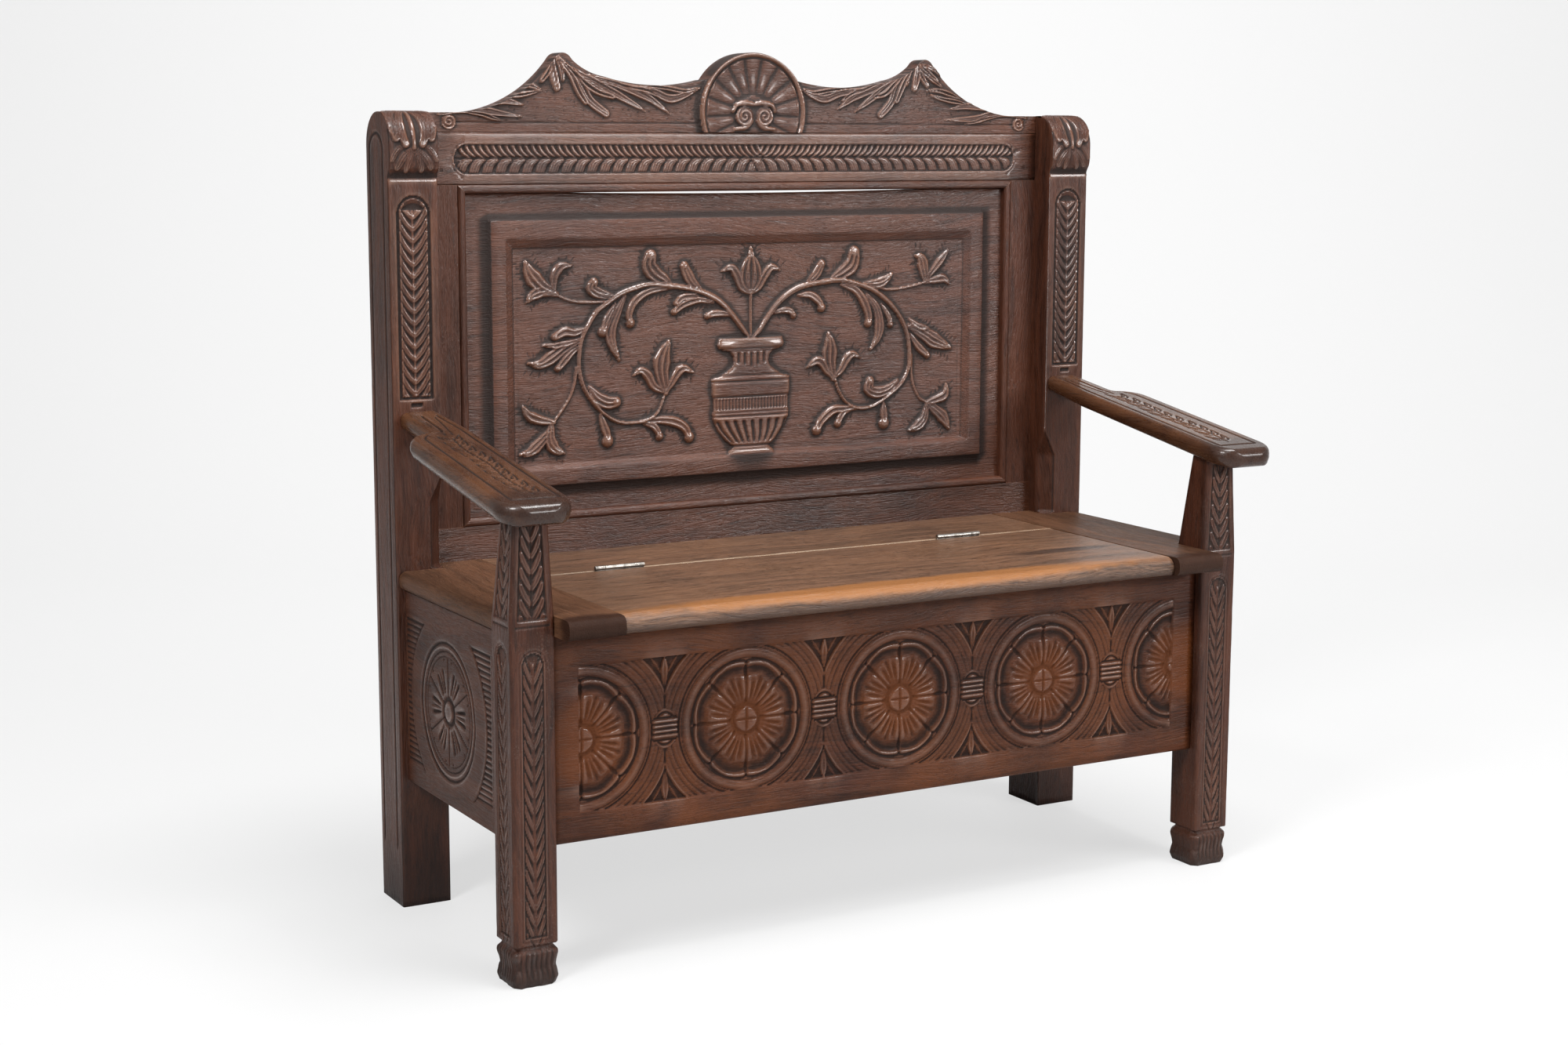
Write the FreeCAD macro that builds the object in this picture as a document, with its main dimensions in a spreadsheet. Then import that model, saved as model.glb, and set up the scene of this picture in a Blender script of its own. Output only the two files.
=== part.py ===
import FreeCAD, Part
import math
import os
import Sketcher

# Settle bench: a carved seat with a chest under its hinged lid.
# Z is up from the floor, the front looks along -Y, and X runs to the right of somebody facing it.
# The origin is on the floor, in the middle of the bench's width and depth. Lengths are millimetres.

sizes = {
    # overall
    "benchWidth": 1160,          # over the rear posts
    "benchDepth": 527,           # from the arms' noses to the backs of the posts
    # rear posts
    "postWidth": 71,
    "postDepth": 82,
    "postRise": 27,              # top of the roll above the crest board's joint
    "scrollProud": 9.5,          # how far the rolled top stands in front of the post
    "scrollDrop": 91.5,          # from the top of the roll down to the step under it
    "scrollCurl": 30,            # height of the curve that runs back to the post
    "stopChamfer": 19,           # width of the chamfer on the inner front corner
    "stopChamferRise": 94,       # its full length above the seat
    "stopChamferEnd": 38,        # length of its run-out
    "postBandWidth": 48,
    "postBandHeight": 277,
    "postBandLift": 16.2,         # plain wood between the arm and the band
    "bandDepth": 2.5,
    # front legs
    "legInset": 2,               # outer faces behind those of the posts
    "legSize": 61,
    "legCorner": 3,
    "legSetback": 57,            # from the arm's nose back to the leg
    "legTaperDrop": 6,           # foot of the taper below the seat
    "legTopWidth": 47,
    "legTopDepth": 37,
    "legTopSetback": 2.5,
    "legBandWidth": 34,
    "legBandBase": 64,
    "legBandDrop": 39,           # top of the band below the taper
    "footHeight": 54,
    "footSize": 65,
    "footWaist": 61,
    "footNeck": 54,
    "footCorner": 9,
    # arms
    "armSlope": 9.2,             # degrees, the underside, down towards the front
    "armTopSlope": 8.83,         # degrees, so the arm thickens towards its nose
    "armLift": 195.5,            # underside at the post above the seat
    "armThickness": 24.8,        # at the post
    "armInnerReach": 4,          # past the post's inner face
    "armOuterReach": 27,         # past the post's outer face
    "armNeckInset": 4,           # from the post's inner face
    "armNeckWidth": 56,
    "armNeckLength": 93,
    "armShoulder": 32,           # radius of the round shoulder
    "armHollow": 14,             # radius of the hollow between neck and shoulder
    "armNose": 38,               # corner radius at the front
    "armEdge": 11,               # rounding of the edges
    # chest
    "seatHeight": 480,
    "seatThickness": 26.5,
    "boardThickness": 24,
    "frontSetback": 16,          # from the leg's face back to the front board
    "frontBoardHeight": 276,
    "sideSetback": 9.5,          # from the leg's outer face in to the side panel
    "sideHeight": 269.5,
    "chestBackThickness": 18,
    "chestBackSetback": 4,
    "floorLift": 16,             # height of the battens under the chest floor
    "floorThickness": 14,
    "floorGap": 1.5,
    "floorBoards": 3,
    # joints of the frame
    "tenonLength": 30,
    "tenonThickness": 10,
    "stubLength": 15,
    "shoulder": 10,
    # front board's carved field
    "fieldWidth": 956,
    "fieldDrop": 45,             # top of the field below the board's top
    "fieldHeight": 193,
    "fieldDepth": 6,
    "rosetteRadius": 95,
    "rosettePetals": 8,
    "rosetteShift": 7.2,         # the row stands a little to the right
    "rosetteSpread": 1.6,        # added to a quarter of the field between centres
    "linkSize": 34,
    "linkRibs": 4,
    # side panel's carving
    "sideRingRadius": 94,
    "sideRingWidth": 11,
    "sideRingLift": 128,         # centre above the panel's lower edge
    "sideRingShift": 13,         # centre behind the middle of the panel
    # seat
    "lidHalfLength": 437.5,
    "lidGap": 1,                 # at each end of the lid
    "lidRest": 0.3,              # over the front board
    "lidFrontReach": 51,         # nose of the lid in front of the front board
    "endFrontReach": 61,         # nose of the end boards in front of the front board
    "endSideReach": 7.5,         # nose of the end boards outside the side panels
    "hingeLineSetback": 164,     # from the back frame's face to the hinge line
    "noseRadius": 11,
    "lidTopRadius": 16,
    "lidLowRadius": 8,
    "tongue": 8,
    "cleatSize": 20,
    "lidBattenWidth": 40,
    "lidBattenThickness": 18,
    "lidBattenOffset": 300,
    "lidBattenClearance": 24,
    # hinges
    "hingeLength": 75,
    "leftHinge": 299,            # distances of the hinges from the middle
    "rightHinge": 264,
    "leafThickness": 1.4,
    "leafPlay": 0.4,
    "leafHeight": 24,
    "knuckleRadius": 3.2,
    "knucklePlay": 0.4,
    "knuckleRebate": 1.2,        # depth of the wood cut away under the knuckles
    "hingeLift": 3.4,            # axis above the seat
    "pinRadius": 1.5,
    "pinPlay": 0.05,
    "screwRadius": 1.9,
    "screwHead": 3.4,
    "screwLength": 18,
    "screwSpacing": 25,
    "screwDrop": 14,
    # back frame
    "frameSetback": 41,          # from the post's face back to the frame
    "frameThickness": 28,
    "openingLift": 47.5,         # lower edge of the opening above the seat
    "openingHeight": 479,
    "topRailHeight": 72.5,
    "bottomRailHeight": 91,
    "stileWidth": 45,
    "pegRadius": 4,
    "pegInset": 20,
    "beadWidth": 12,
    "beadProud": 3,
    "beadRadius": 5,
    # back panel
    "panelRecess": 9,
    "panelThickness": 10,
    "panelGroove": 6,
    "panelSag": 3.4,             # the slit of light over the shrunk panel
    "panelSlitHalf": 300,
    "raisedInset": 49,
    "raisedWidth": 24,
    "raisedHeight": 7,
    "raisedBevel": 4,
    "groundBevel": 9,
    # vase on the back panel
    "vaseRelief": 5,
    "vaseLift": 68.5,             # foot of the vase above the opening's lower edge
    "vaseHeight": 177,
    "vaseWidth": 131,
    # crest
    "crestEndHeight": 27,
    "crestShoulderSide": 455,
    "crestPeakSide": 302,
    "crestPeakHeight": 111,
    "crestPeakHalf": 14,
    "crestPeakDrop": 9,
    "crestPeakRadius": 17,
    "crestValleyHeight": 79,
    "crestValleySide": 240,
    "crestInnerHeight": 76,
    "crestOuterSweep": 195,
    "crestInnerSweep": 95,
    "crestValleySweep": 325,
    "dowelRadius": 5,
    "dowelLength": 30,
    "dowelOffset": 200,
    "buttonRadius": 13,
    "buttonInset": 32,
    "buttonLift": 15,
    "buttonProud": 4,
    # shell
    "shellRadius": 87,
    "shellLift": 29,             # centre above the joint
    "shellProud": 10,
    "shellRim": 11,
    "shellDish": 7,
    "shellRibs": 13,
    "shellRibHeight": 5,
    "shellRibWidth": 15,
    "shellHeartLift": 16,        # where the ribs meet, above the joint
    "shellHeartRadius": 8,
    "shellSweep": 216,           # degrees from the first rib to the last
    "voluteRadius": 14,
    "voluteOffset": 20,
}

doc = FreeCAD.newDocument("SettleBench")
sheet = doc.addObject("Spreadsheet::Sheet", "Sizes")
for row, (alias, number) in enumerate(sizes.items(), 1):
    sheet.set(f"A{row}", alias)
    sheet.set(f"B{row}", str(number))
    sheet.setAlias(f"B{row}", alias)
doc.recompute()


class Length:
    """A formula of the sheet's cells, kept with the number that it gives."""

    def __init__(self, formula, value):
        self.formula = formula
        self.value = value

    def join(self, sign, other, value):
        return Length(f"({self.formula} {sign} {other.formula})", value)

    def __add__(self, other):
        other = asLength(other)
        return self.join("+", other, self.value + other.value)

    def __sub__(self, other):
        other = asLength(other)
        return self.join("-", other, self.value - other.value)

    def __mul__(self, other):
        other = asLength(other)
        return self.join("*", other, self.value * other.value)

    def __truediv__(self, other):
        other = asLength(other)
        return self.join("/", other, self.value / other.value)

    def __neg__(self):
        return Length(f"(0 - {self.formula})", -self.value)

    def __radd__(self, other):
        return asLength(other) + self

    def __rsub__(self, other):
        return asLength(other) - self

    def __rmul__(self, other):
        return asLength(other) * self


def asLength(number):
    return number if isinstance(number, Length) else Length(str(float(number)), float(number))


def cell(alias):
    return Length(f"Sizes.{alias}", float(sheet.get(alias)))


def sine(angle):
    return Length(f"sin({angle.formula})", math.sin(math.radians(angle.value)))


def cosine(angle):
    return Length(f"cos({angle.formula})", math.cos(math.radians(angle.value)))


def tangent(angle):
    return Length(f"tan({angle.formula})", math.tan(math.radians(angle.value)))


def root(square):
    return Length(f"sqrt({square.formula})", math.sqrt(square.value))


# Solids with flat faces, cylinders and joins

def block(name, across, along, upwards):
    """A squared timber between pairs of X, Y and Z."""
    timber = doc.addObject("Part::Box", name)
    for side, place, (low, high) in (("Length", "x", across), ("Width", "y", along), ("Height", "z", upwards)):
        timber.setExpression(side, (high - low).formula)
        timber.setExpression(f"Placement.Base.{place}", asLength(low).formula)
    return timber


def rod(name, radius, length, start, direction):
    """A round bar from the point start along +X, +Y, -Y or +Z."""
    turns = {"+X": (FreeCAD.Vector(0, 1, 0), 90), "+Y": (FreeCAD.Vector(1, 0, 0), -90),
             "-Y": (FreeCAD.Vector(1, 0, 0), 90), "+Z": (FreeCAD.Vector(0, 0, 1), 0)}
    bar = doc.addObject("Part::Cylinder", name)
    bar.setExpression("Radius", radius.formula)
    bar.setExpression("Height", length.formula)
    place(bar, turns[direction], start)
    return bar


def place(item, turn, start):
    item.Placement = FreeCAD.Placement(FreeCAD.Vector(0, 0, 0), FreeCAD.Rotation(*turn))
    for letter, coordinate in zip("xyz", start):
        item.setExpression(f"Placement.Base.{letter}", asLength(coordinate).formula)


def fuse(name, pieces):
    whole = doc.addObject("Part::MultiFuse", name)
    whole.Shapes = pieces
    return whole


def cut(name, base, tools):
    remainder = doc.addObject("Part::Cut", name)
    remainder.Base = base
    remainder.Tool = tools[0] if len(tools) == 1 else fuse(f"{name}Tools", tools)
    return remainder


def common(name, pieces):
    shared = doc.addObject("Part::MultiCommon", name)
    shared.Shapes = pieces
    return shared


def group(name, pieces):
    """Separate solids kept as one item."""
    together = doc.addObject("Part::Compound", name)
    together.Links = pieces
    return together


def shifted(name, source, x):
    """The source again, moved along X."""
    copy = group(name, [source])
    copy.setExpression("Placement.Base.x", asLength(x).formula)
    return copy


def mirrored(name, source):
    other = doc.addObject("Part::Mirroring", name)
    other.Source = source
    other.Base = FreeCAD.Vector(0, 0, 0)
    other.Normal = FreeCAD.Vector(1, 0, 0)
    return other


# Bodies drawn from sketches

def body(name):
    return doc.addObject("PartDesign::Body", name)


def outline(owner, name, plane, corners, level=0, shift=(0, 0)):
    """A closed sketch. A corner is (across, up), or (across, up, radius) where an arc arrives at it;
    a positive radius turns left, a negative one turns right."""
    sketch = owner.newObject("Sketcher::SketchObject", name)
    support = [f for f in owner.Origin.OriginFeatures if f.Role == plane][0]
    sketch.AttachmentSupport = [(support, "")]
    sketch.MapMode = "FlatFace"
    for letter, offset in zip("xyz", (shift[0], shift[1], level)):
        sketch.setExpression(f"AttachmentOffset.Base.{letter}", asLength(offset).formula)
    corners = [tuple(asLength(number) for number in corner) for corner in corners]
    ends = []
    for index, corner in enumerate(corners):
        start = FreeCAD.Vector(corners[index - 1][0].value, corners[index - 1][1].value, 0)
        finish = FreeCAD.Vector(corner[0].value, corner[1].value, 0)
        if len(corner) == 2:
            sketch.addGeometry(Part.LineSegment(start, finish), False)
            ends.append((1, 2))
        else:
            sketch.addGeometry(arcBetween(start, finish, corner[2].value), False)
            ends.append((1, 2) if corner[2].value > 0 else (2, 1))
    for index, corner in enumerate(corners):
        following = (index + 1) % len(corners)
        sketch.addConstraint(Sketcher.Constraint("Coincident", index, ends[index][1], following, ends[following][0]))
        for kind, coordinate in (("DistanceX", corner[0]), ("DistanceY", corner[1])):
            number = sketch.addConstraint(Sketcher.Constraint(kind, -1, 1, index, ends[index][1], coordinate.value))
            sketch.setExpression(f"Constraints[{number}]", coordinate.formula)
        if len(corner) == 3:
            number = sketch.addConstraint(Sketcher.Constraint("Radius", index, abs(corner[2].value)))
            sketch.setExpression(f"Constraints[{number}]", f"abs({corner[2].formula})")
    return sketch


def arcBetween(start, finish, radius):
    """The shorter arc from start to finish, turning left for a positive radius."""
    chord = finish - start
    side = math.copysign(1, radius)
    toCentre = math.sqrt(max(radius * radius - chord.Length ** 2 / 4, 0))
    normal = FreeCAD.Vector(-chord.y, chord.x, 0) / chord.Length
    centre = (start + finish) / 2 + normal * toCentre * side
    angles = [math.atan2(point.y - centre.y, point.x - centre.x) for point in (start, finish)]
    if side < 0:
        angles.reverse()
    circle = Part.Circle(centre, FreeCAD.Vector(0, 0, 1), abs(radius))
    return Part.ArcOfCircle(circle, angles[0], angles[1])


def ring(owner, name, plane, radius, level=0, shift=(0, 0)):
    """A sketched circle about the shifted origin."""
    sketch = owner.newObject("Sketcher::SketchObject", name)
    support = [f for f in owner.Origin.OriginFeatures if f.Role == plane][0]
    sketch.AttachmentSupport = [(support, "")]
    sketch.MapMode = "FlatFace"
    for letter, offset in zip("xyz", (shift[0], shift[1], level)):
        sketch.setExpression(f"AttachmentOffset.Base.{letter}", asLength(offset).formula)
    sketch.addGeometry(Part.Circle(FreeCAD.Vector(0, 0, 0), FreeCAD.Vector(0, 0, 1), radius.value), False)
    sketch.addConstraint(Sketcher.Constraint("Coincident", 0, 3, -1, 1))
    sketch.addConstraint(Sketcher.Constraint("Radius", 0, radius.value))
    sketch.setExpression("Constraints[1]", radius.formula)
    return sketch


def pad(owner, name, sketch, length):
    feature = owner.newObject("PartDesign::Pad", name)
    feature.Profile = sketch
    feature.setExpression("Length", asLength(length).formula)
    return feature


def pocket(owner, name, sketch, length, reverse=False):
    """Cuts against the sketch's normal, or along it when reversed."""
    feature = owner.newObject("PartDesign::Pocket", name)
    feature.Profile = sketch
    feature.Reversed = reverse
    feature.setExpression("Length", asLength(length).formula)
    return feature


def loft(owner, name, sketches, kind="Additive"):
    feature = owner.newObject(f"PartDesign::{kind}Loft", name)
    feature.Profile = sketches[0]
    feature.Sections = sketches[1:]
    feature.Ruled = True
    return feature


def polar(owner, name, feature, sketch, angle, count):
    """Repeats a feature about the normal of its sketch."""
    pattern = owner.newObject("PartDesign::PolarPattern", name)
    pattern.Originals = [feature]
    pattern.Axis = (sketch, ["N_Axis"])
    pattern.setExpression("Angle", asLength(angle).formula)
    pattern.setExpression("Occurrences", asLength(count).formula)
    owner.Tip = pattern
    return pattern


def rounded(owner, name, feature, radius, chosen):
    """Rounds those edges of a feature whose middle passes the test."""
    doc.recompute()
    edges = [f"Edge{n}" for n, edge in enumerate(feature.Shape.Edges, 1) if chosen(edge.CenterOfMass)]
    fillet = owner.newObject("PartDesign::Fillet", name)
    fillet.Base = (feature, edges)
    fillet.setExpression("Radius", radius.formula)
    return fillet


def rectangle(across, up):
    (left, right), (low, high) = across, up
    return [(left, low), (right, low), (right, high), (left, high)]


nodes = []


def node(name, item):
    """Names a finished sub-part and lists it for export."""
    item.Label = name
    nodes.append(item)
    return item


def pair(name, right):
    """The right-hand sub-part and its mirror image."""
    node(f"right_{name}", right)
    return node(f"left_{name}", mirrored(f"left_{name}", right))


# Places shared by several sub-parts

halfWidth = cell("benchWidth") / 2
rearFace = cell("benchDepth") / 2
armFront = -rearFace
postInner = halfWidth - cell("postWidth")
postFront = rearFace - cell("postDepth")
frameFace = postFront + cell("frameSetback")
frameBack = frameFace + cell("frameThickness")
legOuter = halfWidth - cell("legInset")
legInner = legOuter - cell("legSize")
legFront = armFront + cell("legSetback")
legBack = legFront + cell("legSize")
legMiddle = (legInner + legOuter) / 2
seatTop = cell("seatHeight")
seatUnder = seatTop - cell("seatThickness")
taperBase = seatTop - cell("legTaperDrop")
frontBoardLow = seatUnder - cell("frontBoardHeight")
sideLow = seatUnder - cell("sideHeight")
fieldTop = seatUnder - cell("fieldDrop")
fieldLow = fieldTop - cell("fieldHeight")
armHeight = seatTop + cell("armLift")
frontFace = legFront + cell("frontSetback")
frontBack = frontFace + cell("boardThickness")
sideOuter = legOuter - cell("sideSetback")
sideInner = sideOuter - cell("boardThickness")
chestBackFront = frameFace + cell("chestBackSetback")
hingeY = frameFace - cell("hingeLineSetback")
hingeZ = seatTop + cell("hingeLift")
leafInner = cell("leafPlay") / 2
leafOuter = leafInner + cell("leafThickness")
openingLow = seatTop + cell("openingLift")
openingHigh = openingLow + cell("openingHeight")
openingSide = postInner - cell("stileWidth")
crestBase = openingHigh + cell("topRailHeight")
postTop = crestBase + cell("postRise")
bottomRailLow = openingLow - cell("bottomRailHeight")
panelFace = frameFace + cell("panelRecess")
panelBack = panelFace + cell("panelThickness")
tenonFront = frameFace + (cell("frameThickness") - cell("tenonThickness")) / 2
tenonBack = tenonFront + cell("tenonThickness")
endInner = cell("lidHalfLength") + cell("lidGap")
armInner = postInner - cell("armInnerReach")
armOuter = halfWidth + cell("armOuterReach")
neckInner = postInner + cell("armNeckInset")
neckOuter = neckInner + cell("armNeckWidth")
postBox = block("postSpace", (postInner, halfWidth), (postFront, rearFace), (asLength(0), seatTop))
legBox = block("legSpace", (legInner, legOuter), (legFront, legBack), (asLength(0), seatTop))


def armUnder(y):
    """Height of the arm's underside at a depth y."""
    return armHeight - tangent(cell("armSlope")) * (postFront - y)


def armOver(y):
    """Height of the arm's top at a depth y."""
    return armHeight + cell("armThickness") - tangent(cell("armTopSlope")) * (postFront - y)


def middleThird(low, high):
    third = (high - low) / 3
    return low + third, high - third


# Tenons and tongues, each a bar through its own timber that also cuts the mortises

topRailTenon = block("topRailTenon", (-(postInner + cell("tenonLength")), postInner + cell("tenonLength")),
                     (tenonFront, tenonBack), (openingHigh + cell("shoulder"), crestBase - cell("shoulder")))
bottomRailTenon = block("bottomRailTenon", (-(postInner + cell("tenonLength")), postInner + cell("tenonLength")),
                        (tenonFront, tenonBack),
                        (bottomRailLow + cell("shoulder"), openingLow - cell("shoulder")))
stileTenon = block("stileTenon", (openingSide + cell("shoulder"), postInner - cell("shoulder")),
                   (tenonFront, tenonBack),
                   (openingLow - cell("tenonLength"), openingHigh + cell("tenonLength")))
leftStileTenon = mirrored("leftStileTenon", stileTenon)
frontTenon = block("frontTenon", (-(legInner + cell("stubLength")), legInner + cell("stubLength")),
                   middleThird(frontFace, frontBack),
                   (frontBoardLow + cell("shoulder"), seatUnder - cell("shoulder")))
sideTenon = block("sideTenon", middleThird(sideInner, sideOuter),
                  (legBack - cell("stubLength"), postFront + cell("stubLength")),
                  (sideLow + cell("shoulder"), seatUnder - cell("shoulder")))
chestBackTongue = block("chestBackTongue", (-(postInner + cell("tongue")), postInner + cell("tongue")),
                        middleThird(chestBackFront, chestBackFront + cell("chestBackThickness")),
                        (sideLow + cell("shoulder"), bottomRailLow - cell("shoulder")))
armTenon = block("armTenon", middleThird(neckInner, neckOuter),
                 (postFront - cell("stubLength"), postFront + cell("stubLength")),
                 middleThird(armHeight, armHeight + cell("armThickness") - cell("scrollProud") / 2))


def bandRecess(name, plane, middle, width, low, high, level):
    """The sunk ground of a round-topped carved band."""
    recess = body(name)
    half = width / 2
    shape = [(middle - half, low), (middle + half, low), (middle + half, high - half),
             (middle, high, half), (middle - half, high - half, half)]
    pad(recess, f"{name}Depth", outline(recess, f"{name}Outline", plane, shape, level), cell("bandDepth"))
    return recess


# Rear posts

def makePosts():
    scrollFront = postFront - cell("scrollProud")
    roll = (rearFace - scrollFront) / 2
    rollHeight = postTop - roll
    step = postTop - cell("scrollDrop")
    curl = cell("scrollCurl")
    curlRadius = (curl * curl + cell("scrollProud") * cell("scrollProud")) / (2 * cell("scrollProud"))
    timber = body("postTimber")
    profile = outline(timber, "postProfile", "YZ_Plane", [
        (postFront, 0), (rearFace, 0), (rearFace, rollHeight),
        (rearFace - roll, postTop, roll), (scrollFront, rollHeight, roll),
        (scrollFront, step + curl), (postFront, step, curlRadius)], level=postInner)
    pad(timber, "postWidthPad", profile, cell("postWidth"))
    chamfer = body("postChamfer")
    levels = (seatTop, seatTop + cell("stopChamferRise"),
              seatTop + cell("stopChamferRise") + cell("stopChamferEnd"))
    widths = (cell("stopChamfer"), cell("stopChamfer"), cell("stopChamfer") / 20)
    corners = [outline(chamfer, f"postChamfer{n}", "XY_Plane", [
        (postInner, postFront), (postInner + width, postFront), (postInner, postFront + width)], level)
        for n, (level, width) in enumerate(zip(levels, widths))]
    loft(chamfer, "postChamferRun", corners)
    bandLow = armHeight + cell("armThickness") + cell("postBandLift")
    band = bandRecess("postBand", "XZ_Plane", (postInner + halfWidth) / 2, cell("postBandWidth"),
                      bandLow, bandLow + cell("postBandHeight"), -(postFront + cell("bandDepth")))
    post = cut("right_rear_post", timber, [chamfer, band, topRailTenon, bottomRailTenon, sideTenon,
                                           chestBackTongue, armTenon])
    pair("rear_post", post)


# Front legs with their carved feet

def chamferedSquare(left, right, low, high, corner):
    return [(left + corner, low), (right - corner, low), (right, low + corner), (right, high - corner),
            (right - corner, high), (left + corner, high), (left, high - corner), (left, low + corner)]


def makeLegs():
    depthMiddle = (legFront + legBack) / 2
    shaft = body("legShaft")
    section = outline(shaft, "legSection", "XY_Plane",
                      chamferedSquare(legInner, legOuter, legFront, legBack, cell("legCorner")),
                      cell("footHeight"))
    pad(shaft, "legShaftPad", section, taperBase - cell("footHeight"))
    topFront = legFront + cell("legTopSetback")
    topBack = topFront + cell("legTopDepth")
    topLevel = armUnder(topBack) + cell("shoulder")
    taper = body("legTaper")
    halfTop = cell("legTopWidth") / 2
    loft(taper, "legTaperLoft", [
        outline(taper, "legTaperLow", "XY_Plane",
                chamferedSquare(legInner, legOuter, legFront, legBack, cell("legCorner")), taperBase),
        outline(taper, "legTaperHigh", "XY_Plane",
                chamferedSquare(legMiddle - halfTop, legMiddle + halfTop, topFront, topBack, cell("legCorner")),
                topLevel)])
    foot = body("legFoot")
    height = cell("footHeight")
    stages = ((0, cell("footWaist")), (height / 6, cell("footSize")), (height * 0.45, cell("footWaist")),
              (height * 0.75, cell("footSize")), (height * 0.93, cell("footNeck")), (height, cell("footNeck")))
    loft(foot, "legFootLoft", [
        outline(foot, f"legFoot{n}", "XY_Plane",
                chamferedSquare(legMiddle - size / 2, legMiddle + size / 2, depthMiddle - size / 2,
                                depthMiddle + size / 2, cell("footCorner")), level)
        for n, (level, size) in enumerate(stages)])
    armRoom = body("armRoom")
    roomFront = legFront - cell("shoulder")
    roomBack = legBack + cell("shoulder")
    roomTop = topLevel + cell("shoulder")
    room = outline(armRoom, "armRoomSide", "YZ_Plane", [
        (roomFront, armUnder(roomFront)), (roomBack, armUnder(roomBack)), (roomBack, roomTop),
        (roomFront, roomTop)], level=legInner - cell("shoulder"))
    pad(armRoom, "armRoomPad", room, cell("legSize") + 2 * cell("shoulder"))
    bandTop = taperBase - cell("legBandDrop")
    frontBand = bandRecess("legFrontBand", "XZ_Plane", legMiddle, cell("legBandWidth"),
                           cell("legBandBase"), bandTop, -(legFront + cell("bandDepth")))
    sideBand = bandRecess("legSideBand", "YZ_Plane", depthMiddle, cell("legBandWidth"),
                          cell("legBandBase"), bandTop, legOuter - cell("bandDepth"))
    timber = cut("legTimber", fuse("legStages", [foot, shaft, taper]),
                 [armRoom, frontBand, sideBand, frontTenon, sideTenon])
    stub = block("legStub", middleThird(legMiddle - halfTop, legMiddle + halfTop),
                 middleThird(topFront, topBack),
                 (armUnder(topFront) - cell("shoulder"), armUnder(topFront) + cell("stubLength")))
    pair("front_leg", fuse("right_front_leg", [timber, stub]))
    return stub


# Arms

def makeArms(legStub):
    neck = postFront - cell("armNeckLength")
    swing = cell("armShoulder") + cell("armHollow")
    turnCosine = 1 - (armOuter - neckOuter) / swing
    turnSine = root(1 - turnCosine * turnCosine)
    turnX = neckOuter + cell("armHollow") * (1 - turnCosine)
    turnY = neck - cell("armHollow") * turnSine
    nose = cell("armNose")
    low = armUnder(armFront) - cell("shoulder")
    high = armHeight + cell("armThickness") + cell("shoulder")
    arm = body("armTimber")
    plan = outline(arm, "armPlan", "XY_Plane", [
        (neckInner, postFront), (armInner, neck),
        (armInner, armFront + nose), (armInner + nose, armFront, nose),
        (armOuter - nose, armFront), (armOuter, armFront + nose, nose),
        (armOuter, neck - swing * turnSine), (turnX, turnY, cell("armShoulder")),
        (neckOuter, neck, -cell("armHollow")), (neckOuter, postFront)], low)
    pad(arm, "armBlank", plan, high - low)
    ahead = armFront - cell("shoulder")
    behind = postFront + cell("shoulder")
    aside = armInner - cell("shoulder")
    width = armOuter - aside + cell("shoulder")
    thick = cell("armThickness")
    over = outline(arm, "armOver", "YZ_Plane", [
        (ahead, armOver(ahead)), (behind, armOver(behind)),
        (behind, high + thick), (ahead, high + thick)], level=aside)
    pocket(arm, "armTop", over, width, reverse=True)
    under = outline(arm, "armBelow", "YZ_Plane", [
        (ahead, low - thick), (behind, low - thick), (behind, armUnder(behind)),
        (ahead, armUnder(ahead))], level=aside)
    sawn = pocket(arm, "armBottom", under, width, reverse=True)

    def onFace(point):
        depth = asLength(point.y)
        flat = min(abs(point.z - armUnder(depth).value), abs(point.z - armOver(depth).value)) < 0.01
        return flat and point.y < postFront.value - 0.01

    rounded(arm, "armRounding", sawn, cell("armEdge"), onFace)
    pair("arm", cut("right_arm", fuse("armWithTenon", [arm, armTenon]), [legStub]))


# Chest under the seat

def makeRosette(centreHeight):
    """One carved rosette of the front board, in the middle of its field."""
    flower = body("rosette")
    ground = frontFace + cell("fieldDepth")
    unit = cell("rosetteRadius") / 94
    crown = frontFace + cell("fieldDepth") / 12
    hollowed = frontFace + cell("fieldDepth") * 0.6
    deep = frontFace + cell("fieldDepth") * 0.85
    section = outline(flower, "rosetteSection", "YZ_Plane", [
        (ground + 1, 0), (ground + 1, 94 * unit), (crown, 91 * unit), (crown, 84 * unit), (hollowed, 81 * unit),
        (crown, 78 * unit), (crown, 69 * unit), (deep, 65 * unit), (hollowed, 61 * unit), (crown, 50 * unit),
        (hollowed, 24 * unit), (deep, 17 * unit), (crown, 13 * unit), (crown, 0)],
        shift=(0, centreHeight))
    turned = flower.newObject("PartDesign::Revolution", "rosetteTurning")
    turned.Profile = section
    turned.ReferenceAxis = (section, ["H_Axis"])
    turned.Angle = 360
    slit = outline(flower, "petalSlit", "XZ_Plane", rectangle((-unit, unit), (17 * unit, 62 * unit)),
                   level=-frontFace, shift=(0, centreHeight))
    split = pocket(flower, "petalSplit", slit, cell("fieldDepth") * 0.85)
    polar(flower, "petalSplits", split, slit, 360, cell("rosettePetals"))
    return flower


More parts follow.
